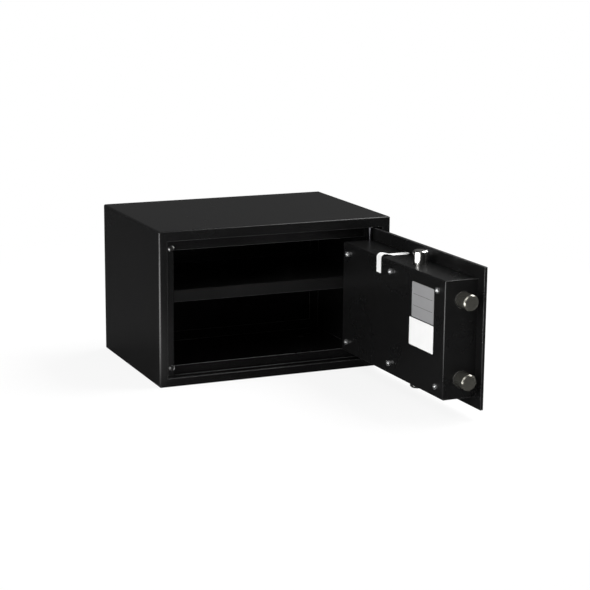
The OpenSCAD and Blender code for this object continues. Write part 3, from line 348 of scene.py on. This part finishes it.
# %% Moulded plastics
def moulded(name, base, high, grain, depth, smooth, fixed={}):
    shader, place = start_finish(name, {"Specular IOR Level": 0.4, **fixed})
    texture = cloud(place, grain, 2)
    flow = cloud(place, 0.025, 3)
    edge, painted_edge_highlight = soft_edge(place, 0.0005)
    body = (texture.ramp(0.35, 0.7) * 0.6 + 0.4 * flow).colour(base, high)
    # Painted highlight: along the rounded edges the colour turns paler.
    feed(shader, "Base Color", (painted_edge_highlight * 0.5).colour(body, tuple(1.9 * c + 0.01 for c in high)))
    feed(shader, "Roughness", smooth + 0.1 * texture + 0.08 * flow - 0.1 * painted_edge_highlight)
    raise_surface(shader, texture, depth, edge)


moulded("textured housing", (0.013, 0.013, 0.014), (0.022, 0.022, 0.023), 0.0005, 0.00006, 0.46)
moulded("knob plastic", (0.012, 0.012, 0.013), (0.018, 0.018, 0.019), 0.0008, 0.00002, 0.3)
moulded("key rubber", (0.10, 0.105, 0.11), (0.13, 0.135, 0.14), 0.0004, 0.00003, 0.55)
moulded("mat rubber", (0.035, 0.036, 0.038), (0.05, 0.051, 0.054), 0.0007, 0.00004, 0.62)
moulded("white nylon", (0.62, 0.61, 0.57), (0.70, 0.69, 0.65), 0.001, 0.00002, 0.38,
        {"Subsurface Weight": 0.15, "Subsurface Radius": (0.002, 0.002, 0.0015)})
moulded("battery sleeve", (0.03, 0.05, 0.04), (0.04, 0.065, 0.05), 0.002, 0.00001, 0.25)
print("moulded finishes made")

# %% [markdown]
# ## Clear pieces
# The two bumpers are clear polyurethane. They show the dark paint behind them
# and pick up light at the rim, which a hard outer coat makes stronger. The
# display's window is smoked acrylic, nearly black, over a dark liquid-crystal
# panel. Both get a slight unevenness, because a perfectly even clear surface
# looks like a hole.

# %% Clear bumper, smoked window, display
def clear(name, tint, smooth, fixed, waves):
    shader, place = start_finish(name, {"IOR": 1.49, **fixed})
    haze = cloud(place, 0.004, 3)
    feed(shader, "Base Color", haze.colour(tint, tuple(0.85 * c for c in tint)))
    feed(shader, "Roughness", smooth + 0.06 * haze)
    raise_surface(shader, cloud(place, 0.002, 1), waves)


see_through = {"Transmission Weight": 0.985, "Coat Weight": 1.0, "Coat IOR": 1.8}
clear("clear bumper", (0.93, 0.94, 0.93), 0.0, see_through, 0.00006)
clear("smoked window", (0.012, 0.013, 0.014), 0.03, {"Transmission Weight": 0.15}, 0.000002)

glossy = {"Specular IOR Level": 0.6, "Coat Weight": 0.6, "Coat Roughness": 0.05}
shader, place = start_finish("display glass", glossy)
film = cloud(place, 0.012)
feed(shader, "Base Color", film.colour((0.03, 0.04, 0.035), (0.055, 0.068, 0.057)))
feed(shader, "Roughness", 0.15 + 0.1 * film)
raise_surface(shader, film, 0.000004)
print("clear finishes made")

# %% [markdown]
# ## Coil and circuit board
# The solenoid's coil is enamelled copper wire, wound round its axis in turns
# of a little more than half a millimetre. A wave along the axis gives the
# turns, and the same wave lifts the surface. The board is green lacquer over
# copper tracks: the tracks stand up a little and look paler.

# %% Wound copper and green board
enamel = {"Metallic": 1.0, "Coat Weight": 0.5, "Coat Roughness": 0.15}
shader, place = start_finish("wound copper", enamel)
wire_pitch = 0.0005655
turns = place.node("TexWave", {"wave_type": "BANDS", "bands_direction": "Z"},
                   {"Vector": place, "Scale": pi / 10 / wire_pitch, "Distortion": 0.4}, 1)
# The turns also paint the colour darker in the troughs between wires: painted shade, mixed with a random tone
# from the cloud.
wire_mix = 0.6 * turns + 0.4 * cloud(place, 0.004)
feed(shader, "Base Color", wire_mix.colour((0.26, 0.08, 0.035), (0.62, 0.24, 0.11)))
feed(shader, "Roughness", 0.25 + 0.2 * cloud(place, 0.003))
raise_surface(shader, turns, 0.00008)

lacquer = {"Specular IOR Level": 0.5, "Coat Weight": 0.4, "Coat Roughness": 0.2}
shader, place = start_finish("green board", lacquer)
on_board = place.node("Mapping", {}, {"Vector": place, "Rotation": (pi / 2, 0, open_angle)})
tracks = place.node("TexBrick", {}, {"Vector": on_board, "Scale": 90.0, "Mortar Size": 0.03}, 1)
board_mix = 0.7 * tracks + 0.3 * cloud(place, 0.01)
feed(shader, "Base Color", board_mix.colour((0.012, 0.075, 0.03), (0.05, 0.19, 0.08)))
feed(shader, "Roughness", 0.3 + 0.1 * cloud(place, 0.005))
raise_surface(shader, tracks, 0.00003)
print("finishes so far:", len(finishes))

# %% [markdown]
# ## Give every piece its finish
# Each node of the frame arrives with a plain material named as its slot. Most
# slots have one finish. A few nodes are turned round another axis than their
# slot's usual one, and are named one by one.

# %% Finish of each slot and node
slot_finish = {
    "case_paint": "case coat", "door_paint": "door coat", "buffer_clear": "clear bumper",
    "hinge_bush": "white nylon", "bright_steel": "bright screw", "zinc_plate": "zinc on plate",
    "nut_steel": "bright nut", "brass": "lock brass", "chrome": "spun chrome",
    "gear_steel": "rack steel", "coil_winding": "wound copper", "housing_plastic": "textured housing",
    "knob_plastic": "knob plastic", "key_plastic": "key rubber", "mat_rubber": "mat rubber",
    "board": "green board", "display": "display glass", "window": "smoked window",
    "battery_label": "battery sleeve",
}
node_finish = {
    "hinge_rod": "nearly black rod", "horizontal_bolts": "bolt steel", "top_bolt": "upright bolt steel",
    "bottom_bolt": "upright bolt steel", "knob_spindle": "spindle steel", "pinion": "spindle steel",
    "spindle_clip": "spindle steel", "lock_cam": "cam steel", "cam_nut": "cam steel",
    "shelf": "shelf coat", "shelf_rails": "shelf coat",
}
node_slot = {}
for name, node in frame["nodes"].items():
    for slot in node.material_slots:
        node_slot[name] = slot.material.name.split(".")[0]
        usual = slot_finish[node_slot[name]]
        slot.material = finishes[node_finish.get(name, usual)]
print("finished nodes:", len(frame["nodes"]))

# %% [markdown]
# ## Hands for modelling
# New pieces are made as by hand: a primitive, then edit-mode steps. The
# helpers keep three habits. Nothing else is selected when a step starts.
# Faces and edges are picked by where they are or where they look. A finished
# piece has its place in its mesh, with its object at the origin, unturned.

# %% Select, place, settle
scene = bpy.context.scene


def alone():
    """Leaves edit mode and deselects everything."""
    if bpy.context.mode != "OBJECT":
        bpy.ops.object.mode_set(mode="OBJECT")
    bpy.ops.object.select_all(action="DESELECT")


def pick(test, kind="FACE"):
    """In edit mode, selects just the faces, edges or vertices whose middle and normal pass the test."""
    bpy.ops.mesh.select_mode(type=kind)
    bpy.ops.mesh.select_all(action="DESELECT")
    mesh = bmesh.from_edit_mesh(bpy.context.active_object.data)
    parts = {"FACE": mesh.faces, "EDGE": mesh.edges, "VERT": mesh.verts}[kind]
    for part in parts:
        ends = [part] if kind == "VERT" else part.verts
        spot = sum((v.co for v in ends), Vector()) / len(ends)
        facing = part.normal if kind != "EDGE" else (part.verts[1].co - part.verts[0].co).normalized()
        part.select_set(bool(test(spot, facing)))
    mesh.select_flush_mode()
    bmesh.update_edit_mesh(bpy.context.active_object.data)


def settle(piece, place, name):
    """Puts the piece where place says, in its mesh, with its name."""
    alone()
    piece.select_set(True)
    bpy.context.view_layer.objects.active = piece
    piece.matrix_world = place @ piece.matrix_world
    bpy.ops.object.transform_apply()
    piece.name = piece.data.name = name
    return piece


def apply(piece, kind, **settings):
    """Adds a modifier, sets it and applies it."""
    modifier = piece.modifiers.new(kind.lower(), kind)
    for key, value in settings.items():
        setattr(modifier, key, value)
    bpy.context.view_layer.objects.active = piece
    bpy.ops.object.modifier_apply(modifier=modifier.name)


def smooth(piece, degrees):
    alone()
    piece.select_set(True)
    bpy.context.view_layer.objects.active = piece
    bpy.ops.object.shade_smooth_by_angle(angle=radians(degrees))


def fit(piece, body, finish, slot, *nodes):
    """Gives the piece its finish and its body, and hides the nodes that it stands for. The slot is not used.
    """
    piece.data.materials.clear()
    piece.data.materials.append(finishes[finish])
    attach(piece, body)
    if nodes:
        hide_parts(*nodes)
    print(piece.name, len(piece.data.polygons), "faces")
    return piece


# %% [markdown]
# ## Folded and cut sheet
# Cut steel sheet never has a sharp edge: the shear leaves a small roll on one
# side, the coat rounds the rest. The frame's sheets have true folds but sharp
# cut edges, so each one is copied, its loose triangles are joined, flat
# neighbours become one face, and a bevel rounds what stays sharper than 35
# degrees. The piece keeps its size, and its edges now catch the light.

# %% Sheets with rounded cut edges
fold_round = 0.0019


def softened(node, width, segments=2, degrees=35, crease=50, fold=None):
    """A copy of a node whose sharp edges are rounded by that width in metres.
    Fold is a test for the edges that are sheet folds, and get a larger round."""
    alone()
    source = frame["nodes"][node]
    piece = bpy.data.objects.new(node + "_soft", source.data.copy())
    scene.collection.objects.link(piece)
    piece.select_set(True)
    bpy.context.view_layer.objects.active = piece
    bpy.ops.mesh.customdata_custom_splitnormals_clear()
    bpy.ops.object.mode_set(mode="EDIT")
    bpy.ops.mesh.select_all(action="SELECT")
    bpy.ops.mesh.remove_doubles(threshold=0.000002)
    bpy.ops.mesh.dissolve_limited(angle_limit=radians(0.3))
    if fold:
        pick(fold, "EDGE")
        bpy.ops.mesh.bevel(affect="EDGES", offset=fold_round, segments=6)
    bpy.ops.object.mode_set(mode="OBJECT")
    apply(piece, "BEVEL", width=width, segments=segments, limit_method="ANGLE", angle_limit=radians(degrees),
          use_clamp_overlap=False)
    smooth(piece, crease)
    apply(piece, "WEIGHTED_NORMAL", keep_sharp=True, weight=80)
    slot = source.material_slots[0].material.name
    return fit(piece, source["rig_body"], slot, node_slot[node], node)


case_low, case_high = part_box("body_wrap")


def outer_fold(spot, along):
    """True on the case's outer edges, apart from those round its open back."""
    walls = [abs(spot.x) > case_high.x - 1e-4, spot.y < case_low.y + 1e-4,
             spot.z < case_low.z + 1e-4 or spot.z > case_high.z - 1e-4]
    return sum(walls) == 2 and spot.y < case_high.y - 1e-4


softened("body_wrap", 0.0005, fold=outer_fold)
for node, width in (
    ("front_frame", 0.0004), ("strike_strip", 0.0003), ("back_panel", 0.0004),
    ("shelf", 0.0003), ("shelf_rails", 0.0003), ("door_plate", 0.0004), ("lock_cover", 0.0004),
    ("hinge_lugs", 0.0004), ("override_cover", 0.0003), ("knob", 0.0003), ("battery_drawer", 0.0002),
):
    softened(node, width)

# %% [markdown]
# ## Bolts
# Each bolt is a thick turned bar with a bevelled end. The bevel has a small
# round where it meets the side, which draws the white crescent. The narrow
# bright ring where a bolt leaves the cover's side is a painted highlight in the
# finish, not a groove.

# %% Bolts with rounded bevels
for node in ("horizontal_bolts", "top_bolt", "bottom_bolt"):
    softened(node, 0.0003, 3, 20, 18)

# %% [markdown]
# ## Bumpers
# Two clear bumpers stop the door with a soft landing. Each is a moulded disc
# with a rounded rim, a shallow ring and a low dome, so it catches light in a
# ring and a spot. The shape is a circle that is pulled up ring by ring, each
# ring scaled to the radius that the disc has there.

# %% Ring by ring
def ring_by_ring(profile, sides=48):
    """A closed round piece from its (radius, height) profile, on its own axis."""
    alone()
    (radius, height), *rest = profile
    bpy.ops.mesh.primitive_circle_add(vertices=sides, radius=radius, location=(0, 0, height))
    piece = bpy.context.active_object
    bpy.ops.object.transform_apply()
    bpy.ops.object.mode_set(mode="EDIT")
    bpy.ops.mesh.select_all(action="SELECT")
    for next_radius, next_height in rest:
        bpy.ops.mesh.extrude_region_move(TRANSFORM_OT_translate={"value": (0, 0, next_height - height)})
        scale = next_radius / radius
        bpy.ops.transform.resize(value=(scale, scale, 1), center_override=(0, 0, 0))
        radius, height = next_radius, next_height
    bpy.ops.mesh.edge_face_add()
    bpy.ops.mesh.select_mode(type="EDGE")
    bpy.ops.mesh.select_all(action="DESELECT")
    bpy.ops.mesh.select_non_manifold()
    bpy.ops.mesh.edge_face_add()
    bpy.ops.mesh.select_all(action="SELECT")
    bpy.ops.mesh.normals_make_consistent(inside=False)
    bpy.ops.object.mode_set(mode="OBJECT")
    return piece


def copies(piece, places, name, body, finish, node):
    """A copy of the piece, with its own mesh, at each place. The first one is removed."""
    for number, place in enumerate(places, 1):
        copy = piece.copy()
        copy.data = piece.data.copy()
        scene.collection.objects.link(copy)
        fit(settle(copy, place, "%s_%d" % (name, number)), body, finish, node_slot[node], node)
    bpy.data.objects.remove(piece)


# %% Bumpers
pad_low, pad_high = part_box("door_buffers")
tall = pad_high.y - pad_low.y
pad_r = (pad_high.x - pad_low.x) / 2
shape = [(1.0, 0.0), (1.0, 0.35), (0.95, 0.55), (0.86, 0.62), (0.8, 0.5), (0.75, 0.45), (0.7, 0.52),
         (0.6, 0.72), (0.45, 0.88), (0.25, 0.97), (0.04, 1.0)]
bumper = ring_by_ring([(pad_r * r, tall * h) for r, h in shape])
smooth(bumper, 60)
forward = Matrix.Rotation(pi / 2, 4, "X")
pad_x = (pad_low.x + pad_high.x) / 2
pad_heights = (pad_low.z + pad_r, pad_high.z - pad_r)
copies(bumper, [Matrix.Translation((pad_x, pad_high.y, z)) @ forward for z in pad_heights],
       "bumper", "case", "clear bumper", "door_buffers")

# %% [markdown]
# ## Threaded studs and nuts
# Six studs, welded to the door plate, hold the cover with a nut each. A
# thread is a ridge that climbs round the stud. At this size it reads the same
# as rings, so the stud is a circle that is pulled up and squeezed ring by
# ring. A nut is a six-sided bar, and a lathe cuts its corners back at 30
# degrees, so it is cut with a bevelled disc, and what both share is kept.

# %% Studs
plate_face = 5.0
cover_face = 60.5
stud_length = 0.0610
stud_r = 0.0025
root_r = 0.00207
pitch = 0.0008
thread_start = stud_length - 0.0105
thread_length = 0.0095
thread = [(stud_r, 0.0)]
turn = 0.0
while turn < thread_length:
    thread += [(stud_r, thread_start + turn), (root_r, thread_start + turn + pitch / 2)]
    turn += pitch
thread += [(0.0024, stud_length - 0.0004), (0.0020, stud_length)]
nut_places = [(u, z) for u in (35.5, 183.25, 331.0) for z in (49.2, 195.0)]
stud = ring_by_ring(thread, 24)
smooth(stud, 50)
along_depth = Matrix.Rotation(-pi / 2, 4, "X")
copies(stud, [Matrix.Translation(on_door(u, plate_face, z)) @ door_turn @ along_depth for u, z in nut_places],
       "cover_stud", "door", "bright screw", "cover_studs")

# %% Nuts
alone()
nut_r = 0.0046
nut_h = 0.004
chamfer = 0.00035
bpy.ops.mesh.primitive_cylinder_add(vertices=6, radius=nut_r, depth=nut_h, location=(0, 0, nut_h / 2))
nut = bpy.context.active_object
bpy.ops.object.transform_apply()
disc = ring_by_ring([(0.0040, 0.0), (nut_r, chamfer), (nut_r, nut_h - chamfer), (0.0040, nut_h)])
disc.name = "nut_cutter"
apply(nut, "BOOLEAN", operation="INTERSECT", object=disc, solver="EXACT")
bpy.data.objects.remove(disc)
alone()
nut.select_set(True)
bpy.context.view_layer.objects.active = nut
bpy.ops.object.mode_set(mode="EDIT")
pick(lambda spot, facing: facing.z > 0.99)
bpy.ops.mesh.inset(thickness=0.0009)
bpy.ops.mesh.extrude_region_move(TRANSFORM_OT_translate={"value": (0, 0, -0.0003)})
bpy.ops.object.mode_set(mode="OBJECT")
apply(nut, "BEVEL", width=0.00012, segments=2, limit_method="ANGLE", angle_limit=radians(25))
smooth(nut, 25)
nut_turns = [Matrix.Rotation(radians(17 * number), 4, "Z") for number in range(6)]
copies(nut, [Matrix.Translation(on_door(u, cover_face, z)) @ door_turn @ along_depth @ turn
             for (u, z), turn in zip(nut_places, nut_turns)],
       "cover_nut", "door", "bright nut", "cover_nuts")

# %% [markdown]
# ## Labels
# Two blank labels are stuck on the cover: a grey one of thin foil with fine
# rules, a white one of paper. A label is a plane with rounded corners and the
# thickness of its sheet. Its rules are printed, so they belong to the finish.

# %% Label finishes
def printed(name, base, tint, rules, rule_colour, ends, smooth, metallic=0.0):
    """Label stock with thin level rules at those heights in metres, between two places on the y axis."""
    shader, place = start_finish(name, {"Specular IOR Level": 0.35, "Metallic": metallic})
    parts = place.node("SeparateXYZ", {}, {0: place})
    across, height = (Wire(parts.tree, parts.socket.node.outputs[i]) for i in (1, 2))
    fibre = cloud(place, 0.0004, 3)
    stock = (0.5 * fibre + 0.5 * cloud(place, 0.02, 2)).colour(base, tint)
    line = (across > ends[0]) * (across < ends[1])
    for rule in rules:
        stock = (line * ((height - rule).size() < 0.0003)).colour(stock, rule_colour)
    feed(shader, "Base Color", stock)
    feed(shader, "Roughness", smooth + 0.1 * fibre)
    raise_surface(shader, fibre, 0.000008)


grey_y = sorted(on_door(u, cover_face, 0).y for u in (53.0, 112.0))
rule_heights = (0.1573, 0.1752)
ink = (0.07, 0.07, 0.07)
printed("grey foil", (0.25, 0.25, 0.255), (0.305, 0.305, 0.31), rule_heights, ink, grey_y, 0.45, 0.2)
printed("white paper", (0.76, 0.76, 0.755), (0.82, 0.82, 0.815), (), (0, 0, 0), grey_y, 0.6)

# %% Labels
def label(name, u0, u1, z0, z1, finish):
    alone()
    bpy.ops.mesh.primitive_grid_add(x_subdivisions=8, y_subdivisions=8, size=1)
    piece = bpy.context.active_object
    piece.scale = ((u1 - u0) / 1000, (z1 - z0) / 1000, 1)
    bpy.ops.object.transform_apply()
    bpy.ops.object.mode_set(mode="EDIT")
    half_u, half_z = (u1 - u0) / 2000, (z1 - z0) / 2000
    pick(lambda spot, facing: abs(spot.x) > half_u - 1e-5 and abs(spot.y) > half_z - 1e-5, "VERT")
    bpy.ops.mesh.bevel(affect="VERTICES", offset=0.0018, segments=5)
    bpy.ops.object.mode_set(mode="OBJECT")
    apply(piece, "SOLIDIFY", thickness=0.00015, offset=1.0)
    smooth(piece, 30)
    middle_of_it = on_door((u0 + u1) / 2, cover_face, (z0 + z1) / 2)
    place = Matrix.Translation(middle_of_it) @ door_turn @ along_depth
    fit(settle(piece, place, name), "door", finish, "battery_label")


label("label_grey", 48.9, 116.2, 139.2, 193.3, "grey foil")
label("label_white", 48.6, 122.5, 94.8, 137.5, "white paper")

# %% [markdown]
# ## Folded paper strip
# A strip of stiff paper is stuck on the back and on the top of the cover, and
# stands a little off the fold between them. It starts as an edge that is
# pulled up the back, is spun through a quarter turn for the bend, and runs on
# along the top to a pointed end that has come loose.

# %% Strip
def drawn_on(back, up, squeeze=1.0):
    """Pulls the selected edge on by that much along the door's depth and up, in millimetres."""
    bpy.ops.mesh.extrude_region_move(TRANSFORM_OT_translate={"value": (0, back / 1000, up / 1000)})
    if squeeze != 1.0:
        bpy.ops.transform.resize(value=(squeeze, 1, 1), center_override=(0, 0, 0))


strip_wide = 0.015
up_the_back = 0.0232
bend_centre = (0, 0.05415, 0.2087)
run = ((-4, -0.4, 1), (-5, -1.25, 1), (-5.2, -1.35, 1), (-12, 0, 1), (-12, 0, 1))
loose_end = ((-3, 0.2, 1), (-2.5, 0.3, 0.8), (-2, 0.4, 0.2))
lowest_part = (0, 0.06065, 0.1971)
alone()
bpy.ops.mesh.primitive_plane_add(size=1, rotation=(pi / 2, 0, 0), location=lowest_part)
strip = bpy.context.active_object
strip.scale = (strip_wide, up_the_back, 1)
bpy.ops.object.transform_apply()
bpy.ops.object.mode_set(mode="EDIT")
pick(lambda spot, facing: spot.z > 0.208, "EDGE")
bpy.ops.mesh.spin(steps=10, angle=-pi / 2, center=bend_centre, axis=(1, 0, 0))
for back, up, squeeze in run + loose_end:
    drawn_on(back, up, squeeze)
bpy.ops.mesh.select_all(action="SELECT")
bpy.ops.mesh.normals_make_consistent(inside=False)
bpy.ops.object.mode_set(mode="OBJECT")
apply(strip, "SOLIDIFY", thickness=0.00012, offset=1.0)
smooth(strip, 40)
place = Matrix.Translation(on_door(225, 0, 0)) @ door_turn
fit(settle(strip, place, "paper_strip"), "door", "white paper", "battery_label")

# %% [markdown]
# ## Index of the knob
# The knob has a short groove that shows which way it is turned, filled with
# white paint. The paint is a thin bar that lies in the groove, a little below
# the face, with its edges drawn down as paint dries.

# %% Index paint
shader, place = start_finish("filled paint", {"Specular IOR Level": 0.5})
skin = cloud(place, 0.0008, 2)
feed(shader, "Base Color", skin.colour((0.7, 0.7, 0.69), (0.8, 0.8, 0.79)))
feed(shader, "Roughness", 0.3 + 0.2 * skin)
raise_surface(shader, skin, 0.00002)

alone()
bpy.ops.mesh.primitive_grid_add(x_subdivisions=4, y_subdivisions=12, size=1)
index = bpy.context.active_object
index.scale = (0.00112, 0.0088, 1)
bpy.ops.object.transform_apply()
bpy.ops.object.mode_set(mode="EDIT")
pick(lambda spot, facing: abs(spot.x) < 0.0004 and abs(spot.y) < 0.0041, "VERT")
bpy.ops.transform.translate(value=(0, 0, 0.0001))
bpy.ops.object.mode_set(mode="OBJECT")
apply(index, "SOLIDIFY", thickness=0.0001, offset=-1.0)
smooth(index, 60)
knob_face = -45.6
index_z = 131.6
place = Matrix.Translation(on_door(knob_u, knob_face, index_z)) @ door_turn @ forward
fit(settle(index, place, "knob_index"), "knob_and_pinion", "filled paint", "knob_plastic")

# %% [markdown]
# ## Numbers on the keys
# The keys carry printed numbers, and a star and a hash for clear and enter.
# A number is a text object that is made a mesh before it is placed, with the
# thickness of a thick print. Each rides on its own key, so it goes in with it.

# %% Printed numbers
shader, place = start_finish("key print", {"Specular IOR Level": 0.3})
chalk = cloud(place, 0.0003, 2)
feed(shader, "Base Color", chalk.colour((0.74, 0.75, 0.76), (0.84, 0.85, 0.86)))
feed(shader, "Roughness", 0.5 + 0.15 * chalk)
raise_surface(shader, chalk, 0.00001)

key_marks = [(digit, "key_" + digit) for digit in "123456789"]
key_marks += [("*", "key_clear"), ("0", "key_0"), ("#", "key_enter")]
for mark, key in key_marks:
    alone()
    bpy.ops.object.text_add()
    print_of_key = bpy.context.active_object
    print_of_key.data.body = mark
    print_of_key.data.size = 0.0085
    print_of_key.data.extrude = 0.00004
    print_of_key.data.align_x = "CENTER"
    print_of_key.data.align_y = "CENTER"
    bpy.ops.object.convert(target="MESH")
    key_low, key_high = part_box(key)
    face = (key_low + key_high) / 2
    face.x = key_high.x
    place = Matrix.Translation(face) @ door_turn @ forward
    fit(settle(print_of_key, place, key + "_print"), key, "key print", "key_plastic")

# %% [markdown]
# ## The floor, the light and the camera
# The safe stands on a pale floor in an even white studio. The floor is drawn
# mostly with its own light for the camera, so that it runs into the white
# behind it and still keeps a faint shadow. Under the safe it has no such
# light, or the anchor holes would glow. The black coat and the steel mirror a
# much dimmer room than the camera sees, as the dark bolts show, so rays that
# come off a gloss see only a part of that white, and one bright patch of
# floor at the left, which draws the pale upright lines. Five large soft lamps
# draw the lines along level folds and the bright bands on round steel.

# %% Floor
alone()
bpy.ops.mesh.primitive_plane_add(size=14, location=(0, 0, 0))
floor = bpy.context.active_object
floor.name = "studio_floor"
shader, place = start_finish("studio floor", {"Roughness": 0.9, "Specular IOR Level": 0.1})
feed(shader, "Base Color", cloud(place, 0.4).colour((0.9, 0.9, 0.9), (0.93, 0.93, 0.93)))
glow = place.node("Emission", {}, {"Color": (1, 1, 1, 1), "Strength": 1.0})
seen = place.node("LightPath", output="Is Camera Ray")
reach = place.vector("LENGTH", place, output=1)
parts = place.node("SeparateXYZ", {}, {0: place})
floor_x, floor_y = (Wire(parts.tree, parts.socket.node.outputs[i]) for i in (0, 1))
under_x, under_y = case_high.x - 0.01, case_high.y - 0.01
beside = 1 - (floor_x.size() < under_x) * (floor_y.size() < under_y)
mixed = place.node("MixShader", {}, {0: seen * beside * reach.ramp(0.3, 1.1, 0.85, 1.0)})
tree = place.tree
tree.links.new(shader.outputs[0], mixed.socket.node.inputs[1])
tree.links.new(glow.socket, mixed.socket.node.inputs[2])
bright_patch = (-0.95, -0.62, 0)
from_patch = place.vector("DISTANCE", place, bright_patch, output=1)
dim = place.node("Emission", {}, {"Color": (1, 1, 1, 1), "Strength": from_patch.ramp(0.9, 0.45, 0.02, 12.0)})
gloss = place.node("LightPath", output="Is Glossy Ray")
last = place.node("MixShader", {}, {0: 0.95 * gloss, 1: mixed, 2: dim})
tree.links.new(last.socket, tree.nodes["Material Output"].inputs["Surface"])
floor.data.materials.append(finishes["studio floor"])

# %% World
world = bpy.data.worlds.new("studio")
scene.world = world
world.use_nodes = True
start = Wire(world.node_tree)
path = start.node("LightPath")
rays = {socket.name: Wire(path.tree, socket) for socket in path.socket.node.outputs}
shown = rays["Is Camera Ray"]
gloss = rays["Is Glossy Ray"]
level = shown + (1 - shown) * (0.085 * gloss + 0.3 * (1 - gloss))
sky = world.node_tree.nodes["Background"]
world.node_tree.links.new(level.socket, sky.inputs["Strength"])
sky.inputs["Color"].default_value = (1, 1, 1, 1)

# %% Lamps
def soft_lamp(name, place, aim, size, watts):
    data = bpy.data.lights.new(name, "AREA")
    data.shape = "RECTANGLE"
    data.size, data.size_y = size
    data.energy = watts
    lamp = bpy.data.objects.new(name, data)
    scene.collection.objects.link(lamp)
    lamp.location = place
    lamp.rotation_euler = (Vector(aim) - Vector(place)).to_track_quat("-Z", "Y").to_euler()
    lamp.visible_camera = False
    return lamp


safe_centre = (0, -0.1, 0.12)
soft_lamp("left_window", (-2.5, -1.3, 0.85), safe_centre, (0.7, 1.6), 42)
soft_lamp("upper_left_panel", (-1.3, -1.4, 1.9), safe_centre, (1.5, 1.5), 21)
soft_lamp("ceiling_panel", (1.75, -0.3, 2.4), safe_centre, (1.5, 1.6), 85)
soft_lamp("right_window", (2.2, -1.8, 1.3), safe_centre, (0.8, 1.2), 8)
soft_lamp("rear_right_panel", (2.0, 1.2, 0.9), safe_centre, (0.9, 1.4), 30)
print("floor, world and lamps ready")

# %% Camera
eye = Vector((-1.0505, -2.5868, 0.7214))
ahead = Vector((0.39468, 0.89327, -0.21518))
right = Vector((0.91542, -0.40241, 0.00852))
down = Vector((-0.07899, -0.20034, -0.97654))
camera = bpy.data.objects.new("camera", bpy.data.cameras.new("camera"))
scene.collection.objects.link(camera)
camera.data.lens = 103.843
camera.data.sensor_width = 36
camera.matrix_world = Matrix.Translation(eye) @ Matrix((right, -down, -ahead)).transposed().to_4x4()
scene.camera = camera
scene.view_settings.view_transform = "Standard"
print("camera", [round(x, 2) for x in camera.location], "m")
